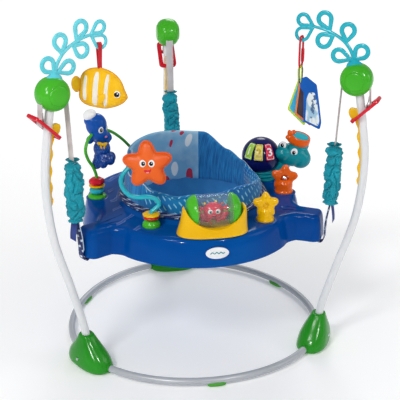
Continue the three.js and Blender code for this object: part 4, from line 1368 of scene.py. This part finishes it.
cover = page("book_cover", -62, 0,
             [(14, 682), (-3, 686), (-3, 700), (20, 712), (55, 699), (66, 655), (76, 612), (72, 594),
              (18, 601)], PAGE_BLUE)
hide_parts("book")
page("book_leaf_1", 165, -1.5, [(-30, 586), (-46, 655), (-24, 695), (1, 701), (9, 615)], PAGE_ORANGE,
     PAGE_DARK)
page("book_leaf_2", 165, 6, [(-15, 584), (-42, 650), (-20, 694), (4, 700), (27, 625)], PAGE_LIME, PAGE_CYAN)
ride(pillow("book_picture", link_mid + at(-62, 0, 0, 1) * 2.1, -62,
            soft_corners([(26, 606), (27, 660), (34, 676), (52, 680), (62, 655), (72, 616), (68, 601)]),
            1.2, PICTURE, rings=6, power=8, edge=0.5), "book", "page_fabric")
for k, (s, top) in enumerate(((-2.2, 736), (2.2, 734.5))):
    loop = curve([link_mid + link_n * x + link_u * s + P(0, 0, z) for x, z in
                  ((-3, 694), (-4.4, 712), (-4, 728), (0, top), (4, 728), (4.4, 712), (3, 694))], 60)
    ride(sweep(f"book_cord_{k + 1}", loop, circle(1.5, 8), CORD if k else PAGE_LIME), "book", "page_fabric")
ride(sweep("book_binding", [link_mid + at(75, s, 0) + P(0, 0, 695) for s in (-4.5, 1, 5, 10)],
           circle(3.2, 14), PAGE_DARK), "book", "page_fabric")


# ---- star on its stalk ----
def star_outline(R, r, turn, count):
    """Five soft points: R and r are the distances of the tips and the notches."""
    out = []
    for k in range(count):
        a = 2 * math.pi * k / count + math.pi / 2
        d = lerp(r, R, (0.5 + 0.5 * math.cos(5 * (a - math.pi / 2))) ** 1.2)
        out.append((d * math.cos(a + math.radians(turn)), d * math.sin(a + math.radians(turn))))
    return out


ride(lathe("stalk_base", stalk_at,
           [(0, SOLE), (22, SOLE), (22, 371.5), (20.5, 377), (16, 383), (11.5, 386), (0, 386)], GREEN,
           fillet=1.6), "tray", "green_plastic", "star_base")


def scallop(count, depth):
    return lambda a, h: 1 + depth * math.cos(count * a)


ride(lathe("stalk_ring_red", stalk_at,
           [(7.2, 387), (14, 387), (18.6, 389), (19.4, 391), (17.6, 393.4), (12, 394), (7.2, 394)], RED,
           fillet=1.0, n=72), "star_rings", "yellow_plastic", "star_rings")
ride(lathe("stalk_ring_yellow", stalk_at,
           [(7.2, 394.4), (14, 394.4), (19.4, 395.6), (21, 397.6), (19.8, 400), (14.5, 402), (7.2, 402)],
           YELLOW, fillet=1.0, n=96, wave=scallop(9, 0.03)), "star_rings", "yellow_plastic")
STALK = [(0, 0, 377), (0, 0, 403), (9, 0, 411), (19, 1, 421), (13, 2, 434), (-8, 3, 442), (-30, 4, 442),
         (-52, 5, 450), (-66, 7, 469), (-68, 10, 490), (-52, 13, 512), (-24, 12, 527), (-10, 6, 529)]
ride(sweep("star_stalk_rod", curve([stalk_at + P(*p) for p in STALK], 150), circle(5.5, 22), AQUA), "star",
     "teal_plastic", "star_stalk")

star_at = P(-141, -189, 529)
star_shape = star_outline(56, 34.5, 3, 140)
ride(pillow("star_body", star_at, TURN, star_shape, 28, STAR_SKIN, rings=14, power=3.2, edge=7), "star",
     "orange_soft", "star")
star_depth = plush_face(star_shape, 28, 3.2)
seam = [on(star_at, TURN, x, y) for x, y in star_shape]
ride(sweep("star_seam", seam, squircle(0.7, 3.9, 12, 3), STAR_SKIN, closed=True, normal=at(TURN, 0, 0, 1)),
     "star", "orange_soft")
for tag, x in (("left", -10.5), ("right", 9.5)):
    eye("star_eye_" + tag, star_at, TURN, x, 7, star_depth(x, 7) - 0.6, 8.0, 4.9, "star",
        slot="orange_soft", stretch=1.15, look=(1.0 if x < 0 else -0.6, 0.3))
smile = smooth_outline([(-8.5, -9.2), (-3, -8.2), (2, -8.2), (7.5, -6.0), (8.6, -7.6), (6.5, -13.6),
                        (0.8, -17.6), (-5, -14.8)], 48)
ride(pillow("star_mouth", on(star_at, TURN, 0, 0, star_depth(0, -12) - 0.3), TURN, smile, 2.4, RED,
            rings=5), "star", "orange_soft")
TONGUE_PINK = soft_vinyl("tongue_pink", "ef7d74", "f28d84")
tongue = smooth_outline([(-4, -14), (0, -12.6), (4, -13), (3.4, -15.6), (0.6, -16.6), (-2.6, -15.8)], 32)
tongue_at = on(star_at, TURN, 0, 0, star_depth(0, -12) + 0.6)
ride(pillow("star_tongue", tongue_at, TURN, tongue, 1.4, TONGUE_PINK, rings=4), "star", "orange_soft")

# ---- arch, beads and octopus ----
arch_way = (arch_to - arch_from).normalized()
WIRE = [(0, 374), (0, 398), (0, 424), (-12, 452), (-34, 482), (-42, 508), (-28, 532), (12, 545), (62, 530),
        (111, 499), (149, 467), (195, 422), (228, 392), (233.7, 374)]
ride(sweep("arch_rod", curve([arch_from + arch_way * s + P(0, 0, z) for s, z in WIRE], 170), circle(4, 20),
           GREEN), "tray", "green_plastic", "arch")
for k, spot in enumerate((arch_from, arch_to)):
    ride(lathe(f"arch_foot_{k + 1}", spot,
               [(0, SOLE), (23.5, SOLE), (24, 371), (22, 374.4), (15, 377), (6, 378), (4, 381), (0, 381)],
               GREEN, fillet=1.4), "tray", "green_plastic")
ride(lathe("bead_teal", arch_from,
           [(5.4, 378.4), (11, 378.4), (17, 380.6), (19.8, 386), (19, 391), (14, 395.4), (9, 396.4),
            (5.4, 396.4)], AQUA, fillet=1.8), "bead_ball", "teal_plastic", "bead_ball")
ride(lathe("bead_yellow", arch_from,
           [(5.4, 397), (16, 397), (20.6, 398.8), (21, 400.8), (16, 403), (5.4, 403)], YELLOW, fillet=1.0),
     "bead_petals", "red_plastic")
ride(lathe("bead_red", arch_from,
           [(5.4, 403.4), (14, 403.4), (18.4, 405.4), (19.8, 410), (18.4, 416), (14, 419.6), (9.5, 420.4),
            (5.4, 420.4)], RED, fillet=1.8, n=96, wave=scallop(6, 0.055)), "bead_petals", "red_plastic",
     "bead_petals")

octo = P(-240, 40, 553)
OCTO_HEAD = [((0, 0, 8), (27, 25, 30)), ((-6, 0, 20), (25, 24, 18)), ((6, -4, -14), (22, 21, 20)),
             ((19, -11, -19), (10, 10, 9)), ((8, -1, -34), (15, 15, 12)),
             ((-17, -2, -30), (10, 9, 12), 0, 30), ((29, -2, -22), (8, 8, 14), 0, -30),
             ((26, -4, -32), (9, 9, 9))]
ride(blob("octopus_head", octo, OCTO_HEAD, OCTO, 1.5, 10), "octopus", "blue_plastic", "octopus")
lobes = [((12, 0, -56), (22, 20, 24)), ((15, 0, -78), (25, 22, 19))]
for a in [math.radians(60 * k + 20) for k in range(6)]:
    lobes.append(((16 + 20 * math.cos(a), 16 * math.sin(a), -88 + 6 * math.cos(a)), (12.5, 11.5, 15)))
ride(blob("octopus_skirt_lobes", octo, lobes, SKIRT, 1.5, 6), "octopus", "blue_plastic")
cap = ball("octopus_cap_spot", octo + P(-16, -4, 36), (17.5, 17, 13.5), WHITE, tilt=-28)
ride(cap, "octopus", "blue_plastic")
eye("octopus_eye_a", octo, 14, 4, 0, 24.0, 6.6, 4.0, "octopus", slot="blue_plastic", stretch=1.45,
    look=(0.6, -0.4))
eye("octopus_eye_b", octo, 84, 0, 0, 25.5, 6.6, 4.0, "octopus", slot="blue_plastic", stretch=1.45)
for k, (x, z, r) in enumerate(((-1, -37, 6.2), (11, -39, 6.2), (5, -38.5, 3.4))):
    ride(ball(f"octopus_bow_{k + 1}", octo + P(7 + x, -17.5 - (2 if k == 2 else 0), z),
              (r * 1.25, 3.2, r * 0.7) if k < 2 else (3.4, 3.2, 3.4), YELLOW,
              tilt=18 if k == 0 else (-18 if k == 1 else 0)), "octopus", "blue_plastic")
for k, x in enumerate((-3, 5)):
    ride(ball(f"octopus_bow_end_{k + 1}", octo + P(12 + x, -18.4, -46), (2.2, 1.6, 6.5), YELLOW,
              tilt=12 if k else -14), "octopus", "blue_plastic")
ride(ball("octopus_mouth", octo + P(22, -19.5, -19), (3.2, 2.4, 2.6),
          soft_vinyl("mouth_pink", "e0708a", "e88098")), "octopus", "blue_plastic")

# ---- spinning drum ----
drum = P(*DRUM)


def barrel(name, rows, mat, n=64, fillet=1.0, closed=False, sharp=50):
    rings = []
    for h, r in rounded(rows, fillet):
        rings.append([drum + P(h, r * math.cos(2 * math.pi * k / n), r * math.sin(2 * math.pi * k / n))
                      for k in range(n)])
    return skin(name, rings, mat, joined=closed, sharp=sharp)


cradle_rows = [(DECK, 89.5, 41, 2.35), (369.2, 90.5, 42, 2.35), (373, 90, 41.6, 2.35), (380, 87.6, 40, 2.4),
               (400, 81.6, 36.4, 2.6), (418, 78, 33, 2.8), (430, 76, 31, 3), (432.6, 74, 29, 3)]
cradle = skin("drum_cradle_shell",
              [oval(P(9, -236.5, z), X, Y, a, b, 120, p) for z, a, b, p in cradle_rows], YELLOW, sharp=60)
middle = world(P(9, 0, 0)).x
for vertex in cradle.data.vertices:  # its right end flares less
    if vertex.co.x > middle:
        height = min(1.0, (vertex.co.z / MM - DECK) / 57)
        vertex.co.x = middle + (vertex.co.x - middle) * lerp(0.885, 0.985, smooth(height))
tool_1 = skin("tool_1", [oval(P(8, y, 466), X, Z, 78, 78, 128) for y in (-320, -130)], YELLOW)
tool_2 = barrel("tool_2",
                [(-68, 26), (-62, 34), (-48, 41.6), (-24, 45), (24, 45), (48, 41.6), (62, 34), (68, 26)],
                YELLOW, fillet=2)
cut(cradle, [tool_1, tool_2], bevel=1.3)
ride(cradle, "tray", "yellow_plastic", "drum_cradle")
window = barrel("drum_clear_shell",
                [(-42.2, 40.8), (-24, 41.8), (0, 42.2), (24, 41.8), (42.2, 40.8), (42.2, 39.4), (24, 40.4),
                 (0, 40.8), (-24, 40.4), (-42.2, 39.4)], WINDOW, n=96, fillet=0.4, closed=True)
ride(window, "drum", "window", "drum_window")
for s, tag in ((-1, "left"), (1, "right")):
    prof = [(s * 41.2, 0), (s * 41.2, 39.2), (s * 42.6, 41.4), (s * 45.5, 41), (s * 52, 38.2),
            (s * 58, 33.6), (s * 62, 28), (s * 64, 21), (s * 64.4, 0)]
    ride(barrel("drum_cap_" + tag, [(h, max(r, 0.02)) for h, r in prof], GREEN, fillet=1.6, n=72, sharp=60),
         "drum", "green_plastic", *(("drum_core",) if s < 0 else ()))
ride(barrel("drum_axle", [(-71.5, 0.02), (-71.5, 4), (71.5, 4), (71.5, 0.02)], GREEN, fillet=0.6, n=28),
     "drum", "green_plastic")
creature = [((0, 0, 3), (25, 15, 18)), ((0, 0, -8), (22, 14, 12))]
for x, z, r in ((30, -8, 8), (24, -18, 8), (13, -22, 7), (31, 6, 6.5)):
    creature += [((s * x, 0, z), (r * 1.15, r * 0.9, r)) for s in (-1, 1)]
figure = blob("drum_octopus", drum, creature, PINKRED, 1.3, 8)
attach(figure, "drum")
for tag, x in (("left", -9.5), ("right", 8.5)):
    eye("drum_eye_" + tag, drum, 0, x, 3, 14.4, 6.0, 3.5, "drum", slot="window",
        look=(0.8 if x < 0 else -0.8, -0.6))
arc = curve([drum + P(x, -14.6, z) for x, z in ((-5, -7.5), (0, -9.5), (5, -7.2))], 16)
ride(sweep("drum_smile", arc, circle(0.9, 8), BLACK), "drum", "window")
for k, (x, z, mat) in enumerate(((-22, 22, YELLOW), (20, 20, ORANGE), (5, 26, YELLOW), (-6, -30, ORANGE),
                                 (30, 24, AQUA))):
    ride(ball(f"drum_bead_{k + 1}", drum + P(x, -6, z), 2.8, mat, n=20), "drum", "window")

# ---- small stars ----
POST = [(0, SOLE), (21.5, SOLE), (21.5, 373), (19, 377.5), (17.4, 386), (18.4, 394), (15, 401), (10, 406),
        (0, 406)]
base = lathe("post_star_base", post_at, POST, YELLOW, fillet=2.2,
             wave=lambda a, h: 1 + 0.03 * math.cos(7 * a) * (1 if h < 380 else 0))
ride(base, "post_star", "yellow_plastic", "post_star")
post_mid = post_at + P(0, 0, 409)
shape = star_outline(32, 22, 2, 110)
ride(pillow("post_star_body", post_mid, TURN, shape, 23, YELLOW, rings=12, power=3.0, edge=8), "post_star",
     "yellow_plastic")
ps_depth = plush_face(shape, 23, 3.0)
swirl = []
for t in [k / 50 for k in range(51)]:
    a, reach = 7.5 * t + 0.4, 7.5 * (1 - 0.6 * t)
    swirl.append(on(post_mid, TURN, reach * math.cos(a), 1 + reach * math.sin(a), ps_depth(4, 4) + 0.4))
# the swirl is a darker copy of the star's yellow plastic: painted shade along the moulded swirl
ride(sweep("post_star_swirl", swirl, circle(1.5, 10), plastic("yellow_swirl_painted_shade", "d9a200", "e2ac00")),
     "post_star", "yellow_plastic")
for k in range(5):
    a = math.radians(92 + 72 * k)
    x, y = 21 * math.cos(a), 21 * math.sin(a)
    ride(ball(f"post_star_dot_{k + 1}", on(post_mid, TURN, x, y, ps_depth(x, y) - 0.6), (2.4, 2.4, 2.4),
              YELLOW, n=20), "post_star", "yellow_plastic")

mbase = lathe("mirror_star_base", mirror_at,
              [(0, SOLE), (24, SOLE), (24.4, 372), (21.6, 376), (20.6, 386), (21, 394), (16, 402), (9, 406),
               (0, 406)], ORANGE, fillet=2.2)
cut(mbase, [ball("tool", mirror_at + P(0, 0, 407), 13, ORANGE)])
ride(mbase, "tray", "orange_plastic", "mirror_star")
m_mid = mirror_at + P(0, 0, 407)
shape = star_outline(35.5, 24.5, -6, 110)
ms = pillow("mirror_star_body", m_mid, TURN, shape, 21, ORANGE, rings=12, power=3.4, edge=8)
front = at(TURN, 0, 0, 1)
cut(ms, [skin("tool", [oval(m_mid + front * d, at(TURN, 1, 0), Z, 11, 11, 56) for d in (-30, 30)], ORANGE)],
    bevel=0.9)
ride(ms, "tray", "orange_plastic")
for k in range(5):
    a = math.radians(84 + 72 * k)
    ride(ball(f"mirror_star_dot_{k + 1}", on(m_mid, TURN, 24 * math.cos(a), 24 * math.sin(a), 8.6),
              (2.2, 1.6, 2.2), ORANGE, n=16), "tray", "orange_plastic")
ride(ball("mirror_ball_face", m_mid, 9.5, MIRROR, n=40), "mirror_ball", "mirror_face", "mirror_ball")
ride(sweep("mirror_ball_pin", [m_mid + P(0, 0, z) for z in (-13, 0, 13)], circle(1.4, 12), GREY_METAL),
     "mirror_ball", "mirror_face")

# ---- turtle ----
dome_at = P(205.5, 99, 431)
neck_rows = [(0, SOLE), (34.5, SOLE), (34.5, 371.6), (31, 374.4), (31, 376.6), (33.4, 379), (33.4, 381.4),
             (30.4, 383.8), (30.4, 386), (32.4, 388), (32.4, 390.4), (29.6, 392.6), (29, 395), (0, 395)]
ride(lathe("turtle_ribbed_base", neck_at, neck_rows, TEAL, fillet=1.5, n=72), "tray", "teal_plastic",
     "turtle_body")
dome_rows = []
for k in range(33):
    a = math.radians(lerp(-63, 89.9, k / 32))
    dome_rows.append((48.6 * math.cos(a), 431 + 49 * math.sin(a)))
dome = lathe("turtle_dome", P(dome_at.x, dome_at.y, 0), [(0, dome_rows[0][1])] + dome_rows, NAVY,
             fillet=0.8, n=96, sharp=60)
for vertex in dome.data.vertices:
    off = vertex.co - world(dome_at)
    vertex.co = world(dome_at) + Vector((off.x * 1.07, off.y * 1.03, off.z * (1.05 if off.z > 0 else 1.0)))


BUTTON_RISE = math.radians(28)  # the buttons look up by this much


def face_drop(x, y):
    """How far a button's face falls away from its middle, to follow the dome."""
    return (x * x + y * y) / 105


def button_frame(bearing):
    """The way out of the dome, across and up at a button."""
    out = at(bearing, math.cos(BUTTON_RISE), math.sin(BUTTON_RISE))
    across = at(bearing, 0, 0, 1)
    up = out.cross(across)
    up = up if up.z > 0 else -up
    return out, across, up


def button_shape(grow, soft=3.0):
    """The outline of a button: wider at its foot, with rounded corners."""
    low, high, tall = 12.4 + grow, 9.2 + grow, 22.2 + grow
    pts = [Vector((-low, -tall, 0)), Vector((low, -tall, 0)), Vector((high, tall, 0)),
           Vector((-high, tall, 0))]
    out = []
    for i in range(4):
        out += corner(pts[i - 1], pts[i], pts[(i + 1) % 4], soft, 6)
    return [(v.x, v.y) for v in out]


def button_block(name, bearing, layers, mat, bend=True):
    """A push button: layers of (growth, distance out), its face bent to the dome."""
    out, across, up = button_frame(bearing)
    rings = []
    for grow, reach in layers:
        ring_pts = []
        for p in resample([Vector((x, y, 0)) for x, y in button_shape(grow)], 72, closed=True):
            x, y = p.x, p.y
            drop = face_drop(x, y) if bend and reach > 50 else 0
            ring_pts.append(dome_at + out * (reach - drop) + across * x + up * y)
        rings.append(ring_pts)
    return skin(name, rings, mat, sharp=60)


BUTTONS = (("button_1", 214, "9ccf3c", "b6dd58", "1", "button_lime", "eef6d8"),
           ("button_2", 248, "e5dc6a", "f0e98a", "2", "button_yellow", "cfae1c"),
           ("button_3", 285, "d8234a", "e43c5e", "3", "button_pink", "f6f2f4"))
tools = [button_block("tool", b, [(0.8, 36), (0.8, 70)], NAVY, bend=False) for _, b, *_ in BUTTONS]
cut(dome, tools, sharp=45, bevel=0.8)
ride(dome, "tray", "navy_plastic", "turtle_shell")


def digit(name, text, size, depth):
    """A numeral as a flat mesh of (x, y) points, centred."""
    font = bpy.data.curves.new(name, "FONT")
    font.body, font.size, font.extrude, font.offset = text, size, depth, size * 0.018
    font.align_x, font.align_y = "CENTER", "CENTER"
    font.resolution_u = 6
    tmp = bpy.data.objects.new(name, font)
    bpy.context.scene.collection.objects.link(tmp)
    bpy.context.view_layer.update()
    me = bpy.data.meshes.new_from_object(tmp.evaluated_get(bpy.context.evaluated_depsgraph_get()))
    verts = [v.co.copy() for v in me.vertices]
    faces = [tuple(p.vertices) for p in me.polygons]
    bpy.data.objects.remove(tmp)
    cx = (min(v.x for v in verts) + max(v.x for v in verts)) / 2
    cy = (min(v.y for v in verts) + max(v.y for v in verts)) / 2
    return [(v.x - cx, v.y - cy, v.z) for v in verts], faces


for body, bearing, c1, c2, text, slot, ink in BUTTONS:
    mat = plastic(body + "_colour", c1, c2, rough=0.2)
    pale = plastic(body + "_ink", ink, ink, rough=0.25)
    out, across, up = button_frame(bearing)
    key = button_block(body + "_key", bearing,
                       [(-4, 46.5), (-0.6, 51.4), (-0.2, 52), (-0.5, 53.4), (-1.6, 53.9)], mat)
    ride(key, body, slot, body)
    rim = [dome_at + out * (54.1 - face_drop(x, y)) + across * x + up * y for x, y in button_shape(-2.4, 2.4)]
    ride(sweep(body + "_border", resample(rim, 90, closed=True), circle(0.75, 8), pale, closed=True,
               normal=out), body, slot)
    verts, faces = digit(body + "_figure", text, 30, 1.0)
    flip = 1 if across.cross(up).dot(out) > 0 else -1
    for i, (x, y, z) in enumerate(verts):
        verts[i] = dome_at + out * (53.9 + z - face_drop(x, y)) + across * x * flip + up * (y - 1)
    ride(make(body + "_numeral", verts, faces, pale, sharp=40), body, slot)

h = P(287, 72, 440)
TURTLE_HEAD = [((0, 0, -2), (44, 34, 32), -6), ((20, -6, -12), (28, 29, 27)), ((-31, -14, 8), (21, 19, 19)),
               ((-33, -16, 27), (13.5, 12, 15)), ((-4, -16, 14), (15, 13, 15)), ((16, 2, 22), (28, 24, 18)),
               ((-20, 6, -24), (20, 16, 18), 0, 30), ((-38, 12, -38), (16, 14, 14))]
ride(blob("turtle_head", h, TURTLE_HEAD, TEAL, 1.5, 12), "tray", "teal_plastic")
for tag, x, y, z, r, bearing in (("left", -36, -25.5, 36, 8.8, -22), ("right", -5, -30.2, 15, 8.8, -8)):
    eye("turtle_eye_" + tag, h + P(x, y, z), bearing, 0, 0, 0, r, r * 0.55, "tray", slot="teal_plastic",
        stretch=1.2, look=(-1.6, -1.2))
ride(ball("turtle_cheek", h + P(-31, -29.5, 6), (7, 2.6, 5.5),
          soft_vinyl("cheek_pale", "8cc9d2", "9ad2da")), "tray", "teal_plastic")
brim_mid = h + P(16, 0, 38)
lean_cap = Matrix.Rotation(math.radians(14), 3, "Y") @ Matrix.Rotation(math.radians(16), 3, "X")


def cap_ring(height, a, b):
    """An oval round the leaning cap's axis."""
    turns = [2 * math.pi * k / 64 for k in range(64)]
    return [brim_mid + lean_cap @ Vector((a * math.cos(w), b * math.sin(w), height)) for w in turns]


CAP = [(-8, 27, 23), (-7, 29.5, 25), (0, 30, 25.5), (8, 29, 24.5), (13, 27.5, 23.5), (14.4, 26, 22),
       (13.6, 24, 20), (11.5, 22.5, 18.5)]
CROWN = [(10, 24.5, 20.4), (12.5, 24, 20), (14.4, 20, 16.6), (15.4, 12, 10), (15.8, 3, 2.6)]
ride(skin("turtle_cap", [cap_ring(*row) for row in CAP], ORANGE, sharp=70), "tray", "orange_plastic")
ride(skin("turtle_cap_crown", [cap_ring(*row) for row in CROWN], AQUA, sharp=80), "tray", "teal_plastic")
TUFT = [((-8, 2, 44), (9, 8, 12)), ((-10, 2, 56), (6.5, 6, 12), 0, -12), ((-1, 2, 58), (6.5, 6, 10), 0, 24),
        ((-15, 2, 47), (7, 6, 6))]
ride(blob("turtle_tuft", h, TUFT, ORANGE, 1.2, 6), "tray", "orange_plastic")
neck = sweep("turtle_neck", curve([P(222, 94, 386), P(240, 86, 392), P(256, 80, 404), P(270, 76, 420)], 40),
             lambda t: squircle(lerp(15, 17, t), lerp(14, 17, t), 28, 2.2), TEAL, normal=at(TURN, 0, 0, 1))
ride(neck, "tray", "teal_plastic")

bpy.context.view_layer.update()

# ---- room, light and view ----
bpy.ops.mesh.primitive_plane_add(size=14, location=(0, 0, -0.0005))
floor = bpy.context.object
floor.name = "studio_floor"
floor.data.materials.append(floor_material())

sky = bpy.data.worlds.new("studio")
bpy.context.scene.world = sky
sky.use_nodes = True
background = sky.node_tree.nodes["Background"]
background.inputs["Color"].default_value = (1.0, 1.0, 1.0, 1)
background.inputs["Strength"].default_value = 0.46


def area(name, where, towards, size, power, tall=None):
    light = bpy.data.lights.new(name, "AREA")
    light.shape, light.size, light.energy = "RECTANGLE" if tall else "DISK", size, power
    light.size_y = tall or size
    o = bpy.data.objects.new(name, light)
    o.location = where
    o.rotation_euler = (Vector(towards) - Vector(where)).to_track_quat("-Z", "Y").to_euler()
    bpy.context.scene.collection.objects.link(o)
    o.visible_diffuse = not tall
    return o


area("key", (-1.7, -2.0, 2.6), (0, 0, 0.4), 0.8, 45)
area("fill", (2.6, -1.2, 1.5), (0, 0, 0.4), 1.3, 13)
area("rim", (0.8, 2.4, 2.4), (0, 0, 0.5), 1.2, 24)
area("glint_left", (-1.1, -2.4, 1.5), (0, 0, 0.35), 0.08, 42, 0.4)
area("glint_right", (0.9, -2.3, 1.9), (0, 0, 0.35), 0.1, 36, 0.3)

eye_at, look_at = world(P(-393.8, -2167.9, 1247.5)), world(P(0, 0, 355))
camera = bpy.data.cameras.new("camera")
camera.lens, camera.sensor_width, camera.shift_x = 82.1, 36, 0.018
view = bpy.data.objects.new("camera", camera)
view.location = eye_at
view.rotation_euler = (look_at - eye_at).to_track_quat("-Z", "Y").to_euler()
bpy.context.scene.collection.objects.link(view)
bpy.context.scene.camera = view
bpy.context.scene.view_settings.view_transform = "Standard"
